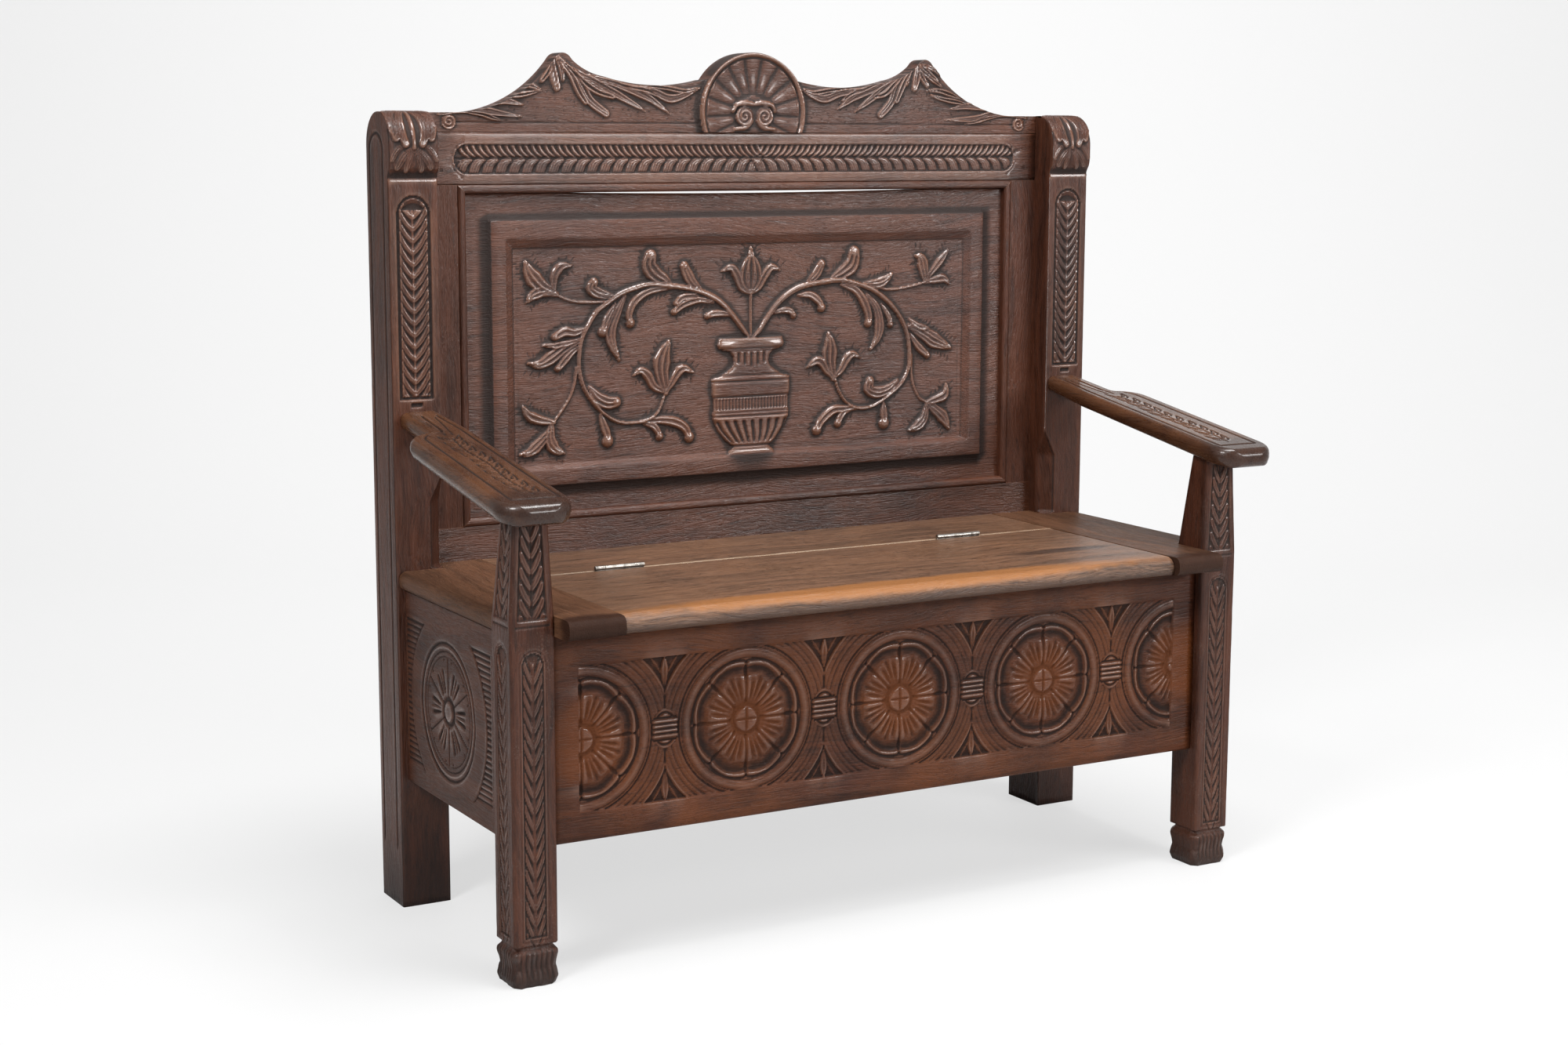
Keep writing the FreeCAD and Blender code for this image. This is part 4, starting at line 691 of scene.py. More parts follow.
def makeBackPanel():
    p = panel
    x, z = panelGrid()
    raised = carveGround(x, z)
    # the flat picture frame round the carved ground
    out = np.maximum(np.abs(x) - p["frameHalf"], np.maximum(p["frameLow"] - z, z - p["frameHigh"]))
    side = (np.abs(x) - p["groundHalf"]) / (p["innerHalf"] - p["groundHalf"])
    foot = (p["groundLow"] - z) / (p["groundLow"] - p["innerLow"])
    top = (z - p["groundHigh"]) / (p["innerHigh"] - p["groundHigh"])
    slope = np.clip(np.maximum(side, np.maximum(foot, top)), 0, 1)
    lift = p["frameRise"] * slope ** 0.8 * np.where(slope >= 1, 1, 0.86)
    frameTop = np.where(out < 0, lift - 1.0 * ease(out, -3.0, 0), 0)
    overBevel = (slope > 0) & (raised > 1.5) & (z < p["groundLow"] + 1)  # the vase's foot
    carved = np.where(slope > 0, np.where(overBevel, np.clip(raised - frameTop, 0, None), 0), raised)
    h = np.where(slope > 0, np.where(overBevel, np.maximum(frameTop, raised), frameTop), raised)
    h += wander(h.shape, 30, 0.25)
    inset = np.maximum(np.abs(x) - p["groundHalf"] + 6,
                       np.maximum(p["groundLow"] + 7 - z, z - p["groundHigh"] + 7))
    # painted shade and dirt in the frame's corners and along the line scribed inside it, taken off the relief
    # so the wood darkens there
    shadeAndDirt = bell(out - 1.2, 2.2) * 1.6
    shadeAndDirt += bell(slope - 0.03, 0.16) * (slope > 0) * ~overBevel * 0.8
    shadeAndDirt += np.where(carved < 0.8, 0.45 * bell(inset, 1.2), 0)
    relief = reliefOf(carved, 2) - shadeAndDirt
    # the top edge has shrunk away from the rail in a shallow curve
    sag = np.clip(1 - (x / p["slit"]) ** 2, 0, None) * p["sag"]
    level = z - sag * ease(z, 957, p["high"])
    front = np.stack([x, p["face"] - h, level], -1)
    piece = slab("carvedBackPanel", front, 1, p["back"], relief)
    finishPiece(piece, wood["walnutPanel"], "carved_walnut", "back_panel")


makeBackPanel()
print("back panel carved")


# front board: five rosettes joined by ribbed links

frontBoard = {"half": 517.0, "low": 177.5, "high": 453.5, "face": -190.5, "back": -166.5,
              "fieldHalf": 478.0, "fieldLow": 215.5, "fieldHigh": 408.5, "depth": 6.0, "pitch": 240.6,
              "middle": 7.2, "level": 311.0, "step": 1.6, "carvedLevel": -2.2}


def rosetteHeight(x, z, petals=8):
    r = np.hypot(x, z)
    turn = np.arctan2(z, x)
    wedge = 2 * np.pi / petals
    local = (turn + wedge / 2) % wedge - wedge / 2  # 0 on a dividing line
    rim = 76.5 + 4.5 * np.clip(np.abs(local) / (wedge / 2), 0, 1) ** 0.5
    radii = [0, 10, 15, 17, 19, 22, 30, 42, 52, 58, 64, 70, 74, 77.5, 79.5, 82, 85.5, 90, 94.5, 97, 98.2, 100]
    highs = [5.7, 5.4, 5.0, 3.0, 1.2, 2.0, 5.0, 5.8, 5.2, 3.6, 1.6, 1.0, 2.6, 5.4, 3.0, 2.6, 5.0, 5.8, 5.2,
             3.4, 4.8, 3.4]
    h = np.interp(r * np.where((r > 58) & (r < 82), 80 / rim, 1), radii, highs)
    spoke = np.abs(local) * r
    inPetal = (r > 22) & (r < rim + 1)
    h -= np.where(inPetal, 2.6 * bell(spoke, 1.6), 0)
    for offset, long in ((0.0, 62), (0.17, 58), (-0.17, 56)):
        t = np.clip((r - 24) / (long - 24), 0, 1)
        away = np.abs((wedge / 2 - np.abs(local)) * np.sign(local) - offset) * r
        width = 1.5 + 2.0 * t
        h -= 3.2 * np.sin(np.pi * t) ** 0.6 * bell(away, width) * (r > 24) * (r < long)
    cross = np.minimum(np.abs(x), np.abs(z))
    h -= np.where(r < 15, 2.2 * bell(cross, 1.3), 0)
    return np.where(r < 100, h, -9)


def makeFrontBoard():
    p = frontBoard
    xs = np.concatenate([[-p["half"], -505, -492, -480.2], np.arange(-478.6, 478.7, p["step"]),
                         [480.2, 492, 505, p["half"]]])
    zs = np.concatenate([[p["low"], 180, 190, 203, 213.6], np.arange(215, 409.2, p["step"]),
                         [410.6, 420, 432, 444, 451.5, p["high"]]])
    x, z = np.meshgrid(xs, zs)
    centre = np.clip(np.round((x - p["middle"]) / p["pitch"]), -2, 2) * p["pitch"] + p["middle"]
    dx, dz = x - centre, z - p["level"]
    r = np.hypot(dx, dz)
    h = rosetteHeight(dx, dz)
    # flutes that echo each ring
    flutes = np.interp(r, [100, 102, 104.5, 107, 110, 113.5, 117, 120, 124, 126.5, 129.5, 131.5],
                       [2.2, 3.4, 4.2, 3.2, 3.9, 2.6, 3.7, 2.5, 3.4, 2.6, 4.4, 1.4])
    h = np.where(r > 100, np.where(r < 131.5, flutes, 1.4), h)
    seam = np.abs(np.abs(dx) - p["pitch"] / 2)
    h = np.where((r > 100) & (r < 131), h - 1.6 * bell(seam, 1.6), h)
    canvas = {"u": x, "w": z, "h": h}
    # small darts in the spandrels
    for k in range(-2, 2):
        mid = p["middle"] + (k + 0.5) * p["pitch"]
        for sign in (1, -1):
            tip, foot = p["level"] + sign * 58, p["level"] + sign * 96
            leaf(canvas, [(mid, tip), (mid, (tip + foot) / 2), (mid, foot)], 13, 3.6, "point", 2, base=0.3,
                 level=0.4)
            for lean in (-1, 1):
                stem(canvas, [(mid + lean * 3, tip + sign * 14), (mid + lean * 13, foot - sign * 8),
                              (mid + lean * 19, foot)], [2.2, 2.6, 2.0], 2.4, 0, 0.4)
        across, up = x - mid, z - (p["level"] + 1)
        block = (np.abs(across) < 19) & (np.abs(up) < 14)
        lens = np.hypot(across / 20, up / 27)
        eye = (lens < 1) & ~block
        ribs = 5.6 - 2.6 * (0.5 - 0.5 * np.cos(up * 2 * np.pi / 6.6 + np.pi))
        ribs -= 1.0 * ease(np.abs(across), 16, 19)
        canvas["h"] = np.where(block, ribs, canvas["h"])
        pod = 4.4 - 2.6 * bell(lens - 0.8, 0.07) - 1.8 * ease(lens, 0.93, 1)
        canvas["h"] = np.where(eye, pod, canvas["h"])
        canvas["h"] = np.where(eye & (np.abs(up) < 15.5), 1.6, canvas["h"])
    h = canvas["h"] + wander(x.shape, 2, 0.3)
    field = np.maximum(np.abs(x) - p["fieldHalf"], np.maximum(p["fieldLow"] - z, z - p["fieldHigh"]))
    h = np.where(field < 0, np.minimum(h - p["depth"], -0.15), 0)
    h = np.where((field >= 0) & (field < 1.2), -0.3, h)
    roundOff = np.maximum(p["low"] + 2.5 - z, z - p["high"] + 2.0)
    h -= 0.8 * np.clip(roundOff, 0, None) ** 1.2
    h += wander(x.shape, 40, 0.2)
    relief = reliefOf(np.where(field < 0, h, p["carvedLevel"]), 2)
    # the sunk field is pushed into the hollow range: a little painted shade across the recess
    relief = np.where(field < 0, relief - 0.12, relief)
    front = np.stack([x, p["face"] - h, z], -1)
    piece = slab("carvedFrontBoard", front, 1, p["back"], relief)
    finishPiece(piece, wood["walnutFront"], "carved_walnut", "front_board")


makeFrontBoard()
print("front board carved")


# crest: two peaks of leaves and a shell

crest = {"half": 509.0, "base": 1079.0, "face": 222.5, "back": 250.5, "shellRadius": 87.0,
         "shellLevel": 1108.0, "columns": 1.8, "rows": 56}
crestLeaves = [
    ([(-318, 1184), (-324, 1165), (-335, 1150)], 10, "round", 2),
    ([(-320, 1184), (-338, 1170), (-352, 1158)], 9, "round", 2),
    ([(-322, 1182), (-345, 1176), (-360, 1166)], 8, "point", 2),
    ([(-322, 1176), (-345, 1160), (-365, 1148)], 9, "point", 2),
    ([(-320, 1186), (-318, 1162), (-312, 1141)], 15, "round", 3),
    ([(-314, 1186), (-306, 1168), (-303, 1152)], 8, "round", 2),
    ([(-336, 1137), (-352, 1143), (-372, 1142), (-392, 1134)], 11, "point", 2),
    ([(-340, 1136), (-362, 1131), (-380, 1129), (-396, 1127)], 10, "point", 2),
    ([(-490, 1103), (-460, 1108), (-425, 1108), (-395, 1104), (-366, 1100)], 12, "point", 3),
    ([(-455, 1109), (-425, 1117), (-395, 1122), (-362, 1116)], 13, "point", 3),
    ([(-450, 1106), (-425, 1103), (-410, 1098), (-396, 1095)], 9, "point", 2),
    ([(-312, 1184), (-290, 1158), (-278, 1135), (-268, 1121)], 12, "round", 2),
    ([(-308, 1182), (-280, 1152), (-262, 1124), (-236, 1105)], 15, "round", 3),
    ([(-302, 1176), (-272, 1150), (-250, 1136), (-226, 1129)], 12, "round", 2),
    ([(-290, 1168), (-255, 1150), (-215, 1130), (-172, 1108)], 13, "point", 3),
    ([(-262, 1158), (-215, 1145), (-170, 1128), (-134, 1105)], 14, "point", 3),
    ([(-240, 1154), (-200, 1143), (-170, 1138), (-150, 1126)], 10, "point", 2),
    ([(-200, 1144), (-160, 1136), (-130, 1127), (-86, 1142)], 14, "point", 3),
    ([(-180, 1146), (-140, 1142), (-110, 1138), (-86, 1144)], 9, "point", 2)]
rightCrestLeaves = [
    ([(286, 1184), (294, 1165), (305, 1150)], 10, "round", 2),
    ([(288, 1184), (306, 1170), (322, 1158)], 9, "round", 2),
    ([(290, 1182), (313, 1176), (330, 1165)], 8, "point", 2),
    ([(290, 1176), (313, 1160), (335, 1147)], 9, "point", 2),
    ([(288, 1186), (286, 1165), (282, 1146)], 14, "round", 3),
    ([(282, 1186), (272, 1168), (268, 1152)], 8, "round", 2),
    ([(305, 1143), (325, 1143), (345, 1138), (365, 1131)], 11, "point", 2),
    ([(312, 1136), (335, 1130), (360, 1126), (380, 1122)], 10, "point", 2),
    ([(490, 1103), (455, 1108), (420, 1107), (395, 1101), (337, 1099)], 12, "point", 3),
    ([(450, 1109), (415, 1117), (380, 1120), (345, 1115)], 13, "point", 3),
    ([(440, 1106), (415, 1102), (395, 1097), (375, 1093)], 9, "point", 2),
    ([(282, 1184), (266, 1160), (256, 1140), (250, 1127)], 12, "round", 2),
    ([(278, 1182), (252, 1152), (240, 1125), (222, 1106)], 15, "round", 3),
    ([(272, 1176), (245, 1152), (230, 1138), (212, 1133)], 12, "round", 2),
    ([(262, 1168), (230, 1148), (205, 1130), (176, 1110)], 13, "point", 3),
    ([(240, 1158), (205, 1143), (175, 1132), (145, 1113)], 14, "point", 3),
    ([(220, 1154), (190, 1143), (168, 1136), (150, 1123)], 10, "point", 2),
    ([(190, 1144), (150, 1137), (120, 1129), (82, 1142)], 14, "point", 3),
    ([(170, 1146), (135, 1142), (105, 1138), (82, 1145)], 9, "point", 2)]


def crestTop(x):
    outline = crestCurve()
    top = np.interp(x, outline[:, 0], outline[:, 1])
    shell = np.abs(x) < crest["shellRadius"]
    disc = crest["shellLevel"] + np.sqrt(np.clip(crest["shellRadius"] ** 2 - x * x, 0, None))
    return np.where(shell, np.maximum(top, disc), top)


def arcTo(a, b, radius, hollow):
    a, b = np.array(a, float), np.array(b, float)
    mid, d = (a + b) / 2, b - a
    half = np.hypot(*d) / 2
    normal = np.array([-d[1], d[0]]) / (2 * half) * (1 if hollow else -1)
    centre = mid + normal * math.sqrt(radius * radius - half * half)
    start, end = np.arctan2(*(a - centre)[::-1]), np.arctan2(*(b - centre)[::-1])
    turn = (end - start + np.pi) % (2 * np.pi) - np.pi
    angles = start + turn * np.linspace(0, 1, 24)
    return np.stack([centre[0] + radius * np.cos(angles), centre[1] + radius * np.sin(angles)], 1)


def crestCurve():
    half = np.vstack([[(0, 1155)], arcTo((78.3, 1155), (240, 1158), 325, True),
                      arcTo((240, 1158), (288, 1181), 95, True), arcTo((288, 1181), (302, 1190), 17, False),
                      arcTo((302, 1190), (316, 1181), 17, False),
                      arcTo((316, 1181), (455, 1106), 195, True), [(509, 1106)]])
    left = half[:0:-1] * (-1, 1)
    return np.vstack([left, half])


def coil(canvas, spot, side, pitch):
    across, up = (canvas["u"] - spot[0]) * side, canvas["w"] - spot[1]
    r = np.hypot(across, up)
    return r, 0.5 + 0.5 * np.cos(2 * np.pi * r / pitch - np.arctan2(up, across))


def carveShell(canvas):
    p = crest
    x, z = canvas["u"], canvas["w"] - p["shellLevel"]
    r, turn = np.hypot(x, z), np.arctan2(x, z + 2)  # 0 straight up
    ribs = 13
    fan = 2.35
    along = (turn / fan + 1) / 2 * ribs
    rib = np.abs(np.sin(np.pi * along))
    dish = np.interp(r, [0, 24, 40, 60, 74, 79, 81, 84, 86.2, 87.3],
                     [6.5, 5.2, 4.0, 3.6, 5.0, 6.6, 8.0, 10, 9.4, 6.0])
    inside = (r < 77.5) & (r > 24) & (np.abs(turn) < fan)
    dish = np.where(inside, dish + 2.6 * rib ** 0.6 * ease(r, 24, 42) - 1.2, dish)
    dish -= 2.6 * bell(r - 78.8, 1.2)
    h = np.where(r < 87.3, dish, canvas["h"])
    canvas["h"] = h
    # the arch over the two volutes
    arch = canvasOn(canvas["u"], canvas["w"])
    stem(arch, [(-34, 1110), (-28, 1119), (-12, 1122), (0, 1120), (14, 1122), (30, 1119), (36, 1110)],
         [5, 8, 6, 8, 5], 3.6, 0.0, 6.0)
    for side in (-1, 1):
        spot = (1.5 + side * 16.5, 1102.5)
        far, curl = coil(canvas, spot, side, 6.6)
        volute = np.maximum(arch["h"], 7.2 + 2.6 * curl * ease(14.5 - far, 0, 2))
        arch["h"] = np.where(far < 14.5, volute, arch["h"])
        stem(arch, [(1.5 + side * 5, 1096), (1.5 + side * 14, 1087), (1.5 + side * 34, 1084)], [7, 7, 4],
             3.0, 0.2, 6.0)
    canvas["h"] = np.where(r < 79, np.maximum(canvas["h"], arch["h"]), canvas["h"])


def makeCrest():
    p = crest
    xs = np.linspace(-p["half"], p["half"], int(2 * p["half"] / p["columns"]))
    top = crestTop(xs)
    rows = np.linspace(0, 1, p["rows"])
    rows = np.concatenate([[0, 0.008], rows[1:-1], [0.985, 1.0]])
    x = np.tile(xs, (len(rows), 1))
    z = p["base"] + (top - p["base"])[None, :] * rows[:, None]
    canvas = canvasOn(x, z)
    for points, width, tip, flutes in crestLeaves + rightCrestLeaves:
        leaf(canvas, points, width * 1.05, 3.8, tip, flutes, depth=0.6, rise=0.15)
    for points, width, tip, flutes in crestLeaves + rightCrestLeaves:
        gouge(canvas, [(u + 1.2, w) for u, w in points[:-1]] + [points[-1]], 3.2, 1.5)
    bare = canvas["h"] < 0.05
    h = canvas["h"]
    h -= np.where(bare, 1.2 * bell(z - 1092, 1.3) * (np.abs(x) < 470), 0)
    canvas["h"] = h
    for side in (-1, 1):
        far, curl = coil(canvas, (side * 475, 1093), side, 5.5)
        canvas["h"] = np.where(far < 10.5, 1.2 + 1.8 * curl, canvas["h"])
    spots = []
    for u in np.arange(-460, 461, 14.5):
        for w in np.arange(1098, 1180, 12.5):
            spots.append((u + rng.uniform(-4, 4), w + rng.uniform(-4, 4)))
    near = canvas["h"].copy()
    pricks(canvas, [s for s in spots if s[1] < np.interp(s[0], xs, top) - 10 and abs(s[0]) > 95], 1.9, 0.9)
    canvas["h"] = np.where(near > 0.4, near, canvas["h"])
    carveShell(canvas)
    h = canvas["h"] + wander(x.shape, 3, 0.2) + wander(x.shape, 25, 0.25)
    h[-1] -= 1.2
    h = np.minimum(h, 10.0)
    relief = reliefOf(h, 2)
    front = np.stack([x, p["face"] - h, z], -1)
    front[-2:, :, 2] -= np.array([0.2, 0.6])[:, None]
    piece = slab("carvedCrest", front, 1, p["back"], relief)
    finishPiece(piece, wood["walnutAcross"], "carved_walnut", "crest_board")


makeCrest()
print("crest carved")


# top rail: a long frieze of laurel

topRail = {"half": 509.0, "low": 1006.5, "high": 1079.0, "face": 222.5, "back": 250.5, "bandHalf": 467.5,
           "bandLow": 1021.0, "bandHigh": 1062.0, "pitch": 20.0, "middle": 3.0, "step": 1.7}


def makeTopRail():
    p = topRail
    xs = np.concatenate([[-p["half"], -495, -482, -472], np.arange(-470, 470.5, p["step"]),
                         [472, 482, 495, p["half"]]])
    zs = np.concatenate([[p["low"], 1008, 1014, 1019.5], np.arange(1020.5, 1063, 1.45),
                         [1064, 1069, 1075, 1077.8, p["high"]]])
    x, z = np.meshgrid(xs, zs)
    canvas = canvasOn(x, z)
    centre, halfHigh = (p["bandLow"] + p["bandHigh"]) / 2, (p["bandHigh"] - p["bandLow"]) / 2
    along = np.clip(np.abs(x) - (p["bandHalf"] - halfHigh), 0, None)
    edge = np.hypot(along, z - centre) - halfHigh
    h = np.where(edge < 0, -3.2, 0.0) - 1.2 * bell(edge - 3.5, 0.9)
    canvas["h"] = h
    cuts = []
    for start in np.arange(-p["bandHalf"] + 8, p["bandHalf"] - 4, p["pitch"]):
        way = 1 if start < p["middle"] else -1
        lobe = [(start + way * 15, 1040), (start + way * 6, 1034.5), (start + way * 1, 1023)]
        leaf(canvas, lobe, 15.5, 3.0, "same", 4, depth=0.6, base=0.6, rise=0.0, level=-3.2)
        cuts.append([(u - 9.5, w) for u, w in lobe])
        for k in (0, 1):
            blade = [(start + k * 10, 1060.5), (start + k * 10 + way * 5, 1051),
                     (start + k * 10 + way * 14, 1045)]
            leaf(canvas, blade, 8.0, 2.9, "point", 1, depth=0.4, base=0.8, rise=0.0, level=-3.2)
            cuts.append([(u - way * 5, w) for u, w in blade])
    for points in cuts:
        gouge(canvas, points, 3.4, 1.4)
    h = canvas["h"]
    h = np.where(edge < 0, h - 1.6 * bell(z - 1042.6, 1.2), h)
    h = np.where((edge < 0) & (edge > -2), np.minimum(h, -2.6), h)
    canvas["h"] = h
    pricks(canvas, [(s, 1058.5) for s in np.arange(-450, 451, 20.0)], 1.8, 1.2)
    h = canvas["h"] + wander(x.shape, 2, 0.15) + wander(x.shape, 30, 0.25)
    h -= 0.8 * np.clip(np.maximum(p["low"] + 1.5 - z, z - p["high"] + 1.5), 0, None)
    relief = reliefOf(h, 2)
    front = np.stack([x, p["face"] - np.minimum(h, 0), z], -1)
    piece = slab("carvedTopRail", front, 1, p["back"], relief)
    finishPiece(piece, wood["walnutAcross"], "carved_walnut", "back_top_rail")


makeTopRail()
print("top rail carved")


# side panels: a rayed rosette between two ladders

sidePanel = {"inner": 544.5, "outer": 568.5, "front": -145.5, "rear": 181.5, "low": 184.0, "high": 453.5,
             "centre": 31.0, "level": 312.0, "step": 2.0}


def makeSidePanel(side):
    p = sidePanel
    ys = np.concatenate([[p["front"], -143], np.arange(-141, 180, p["step"]), [p["rear"]]])
    zs = np.concatenate([[p["low"], 186], np.arange(188, 453, p["step"]), [p["high"]]])
    y, z = np.meshgrid(ys, zs)
    dy, dz = y - p["centre"], z - p["level"]
    r = np.hypot(dy, dz)
    turn = np.arctan2(dz, dy)
    h = np.interp(r, [0, 12, 15, 17, 21, 24, 73, 75, 77, 80, 81.5, 83.5, 88, 92, 93.6, 95, 96.5],
                  [0, -0.4, -2.6, -3.2, -2.4, -1.2, -1.2, -2.4, -1.0, -1.0, -2.6, -1.4, 0, -1.4, -2.8, -1.0,
                   0])
    local = (turn - np.pi / 2 + np.pi / 6) % (np.pi / 3) - np.pi / 6
    h -= np.where((r > 20) & (r < 74), 1.7 * bell(local * r, 1.3), 0)
    for offset in (-0.17, 0, 0.17):
        away = np.abs(np.abs(local) - np.pi / 6 + np.abs(offset)) * r
        t = np.clip((r - 25) / 35, 0, 1)
        h -= 2.4 * np.sin(np.pi * t) ** 0.7 * bell(away, 0.9 + 1.8 * t)
    canvas = {"u": y, "w": z, "h": h}
    for k in range(6):
        for off in (-11, 11):
            a = math.radians(90 + 60 * k + off)
            pricks(canvas, [(p["centre"] + 71 * math.cos(a), p["level"] + 71 * math.sin(a))], 2.4, 1.4)
    h = canvas["h"]
    inLadder = (r > 134) & (z > 210) & (z < 418) & (y > -118) & (y < 178)
    rungs = np.clip(np.cos((z - 210) * 2 * np.pi / 7.9) * 1.3 + 0.2, -0.4, 1)
    h = np.where(inLadder, np.minimum(h, -0.4 - 1.9 * (rungs > 0) * rungs), h)
    h -= 1.3 * bell(r - 134, 1.1) * (z > 208) * (z < 420) * (y > -120) * (y < 180)
    h += wander(h.shape, 2, 0.12) + wander(h.shape, 20, 0.3) - 0.3
    relief = reliefOf(h, 2)
    front, relief = sided(side, p["outer"] + np.minimum(h, 0), y, z, relief)
    piece = slab("carvedSidePanel" + hands[side], front, 0, side * p["inner"], relief)
    finishPiece(piece, wood["walnutSide"], "carved_walnut", hands[side].lower() + "_side_panel")


for side in (-1, 1):
    makeSidePanel(side)
print("side panels carved")


# rear posts: a leaf over the rolled top, a long carved band, lines on the outer side

post = {"inner": 509.0, "outer": 580.0, "front": 181.5, "back": 263.5, "top": 1106.0, "roll": 45.75,
        "rollMiddle": 217.75, "proud": 9.5, "curl": 30.0, "drop": 91.5, "bandLow": 716.5, "bandHigh": 993.5,
        "bandHalf": 24.0, "bandDepth": 2.5, "chamfer": 19.0, "chamferLow": 480.0, "chamferFull": 574.0,
        "chamferEnd": 612.0}


def herringbone(canvas, middle, half, low, high, pitch, level, height=2.2, flutes=2, climb=1.0, cut=1.3):
    reach = half - 1.0
    apart = pitch * reach / math.hypot(reach, pitch * climb)
    cuts = []
    for foot in np.arange(low - pitch * climb, high, pitch):
        for side in (-1, 1):
            points = [(middle + side * 1.2, foot),
                      (middle + side * reach * 0.55, foot + pitch * climb * 0.38),
                      (middle + side * reach, foot + pitch * climb)]
            leaf(canvas, points, apart * 0.98, height, "round", flutes, depth=0.5, base=0.7, rise=0.0,
                 level=level)
            cuts.append([(x, z + pitch * 0.5) for x, z in points])
    for points in cuts:
        gouge(canvas, points, 3.2, cut)


def bandEdge(u, w, middle, half, low, high):
    up = np.clip(w - (high - half), 0, None)
    return np.maximum(np.hypot(u - middle, up) - half, low - w)


def postFrontLine():
    p = post
    step = p["top"] - p["drop"]
    curlRadius = (p["curl"] ** 2 + p["proud"] ** 2) / (2 * p["proud"])
    rollHeight = p["top"] - p["roll"]
    levels = np.concatenate([np.arange(0, 470, 11.0), np.arange(474, 620, 4.0), np.arange(624, 700, 9.0),
                             np.arange(704, step - 1, 1.75)])
    rows = [(p["front"], z, -1.0, 0.0, z - step) for z in levels]
    s = 0.0
    for z in np.linspace(step, step + p["curl"], 19):
        rise = step + p["curl"] - z
        y = p["front"] - p["proud"] + curlRadius - math.sqrt(curlRadius ** 2 - rise ** 2)
        rows.append((y, z, -math.sqrt(1 - (rise / curlRadius) ** 2), -rise / curlRadius * 0.6, s))
        s += 31.6 / 18
    for z in np.linspace(step + p["curl"], rollHeight, 10)[1:]:
        rows.append((p["front"] - p["proud"], z, -1.0, 0.0, 31.6 + z - step - p["curl"]))
    start = 31.6 + rollHeight - step - p["curl"]
    for a in np.linspace(0, math.radians(88.5), 44)[1:]:
        rows.append((p["rollMiddle"] - p["roll"] * math.cos(a), rollHeight + p["roll"] * math.sin(a),
                     -math.cos(a), math.sin(a), start + p["roll"] * a))
    return np.array(rows)


# way from the middle and along the skin, and width, of the leaves under the roll and on it
curlLeaves = [([(2, 44), (12, 36), (19, 27), (24, 17)], 12), ([(1, 40), (7, 28), (10, 20), (11, 13)], 10),
              ([(10, 50), (21, 44), (28, 36), (32, 28)], 10)]
rollLeaves = [([(3, 116), (12, 100), (17, 80), (16, 62), (12, 50)], 15),
              ([(5, 118), (20, 108), (28, 92), (29, 74), (25, 58)], 15),
              ([(12, 118), (26, 114), (33, 104), (35, 88), (34, 74)], 11)]


def carveRoll(canvas):
    w = canvas["w"]
    base = np.interp(w, [0, 3, 8, 12, 16, 120], [-1.5, -3.2, -3.6, -2.6, -1.6, -1.6])
    canvas["h"] = np.where(w > 0, base, canvas["h"])
    mid = (post["outer"] - post["inner"]) / 2
    for side in (-1, 1):
        for points, width in curlLeaves:
            spots = [(mid + side * x, z) for x, z in points]
            leaf(canvas, spots, width, 3.2, "round", 3, depth=0.5, base=0.5, rise=0.1, level=-3.0)
        for points, width in rollLeaves:
            spots = [(mid + side * x, z) for x, z in points]
            leaf(canvas, spots, width, 3.6, "round", 3, depth=0.45, base=0.6, rise=0.15, level=-1.4)
    stem(canvas, [(mid, 119), (mid, 85), (mid, 60), (mid, 44)], [8, 8, 7, 4], 4.4, 0, -1.4)
    for side in (-1, 1):
        gouge(canvas, [(mid + side * 2.6, 117), (mid + side * 2.6, 80), (mid + side * 1.8, 50)], 3.2, 1.8)
    canvas["h"] = np.minimum(canvas["h"], 1.2)


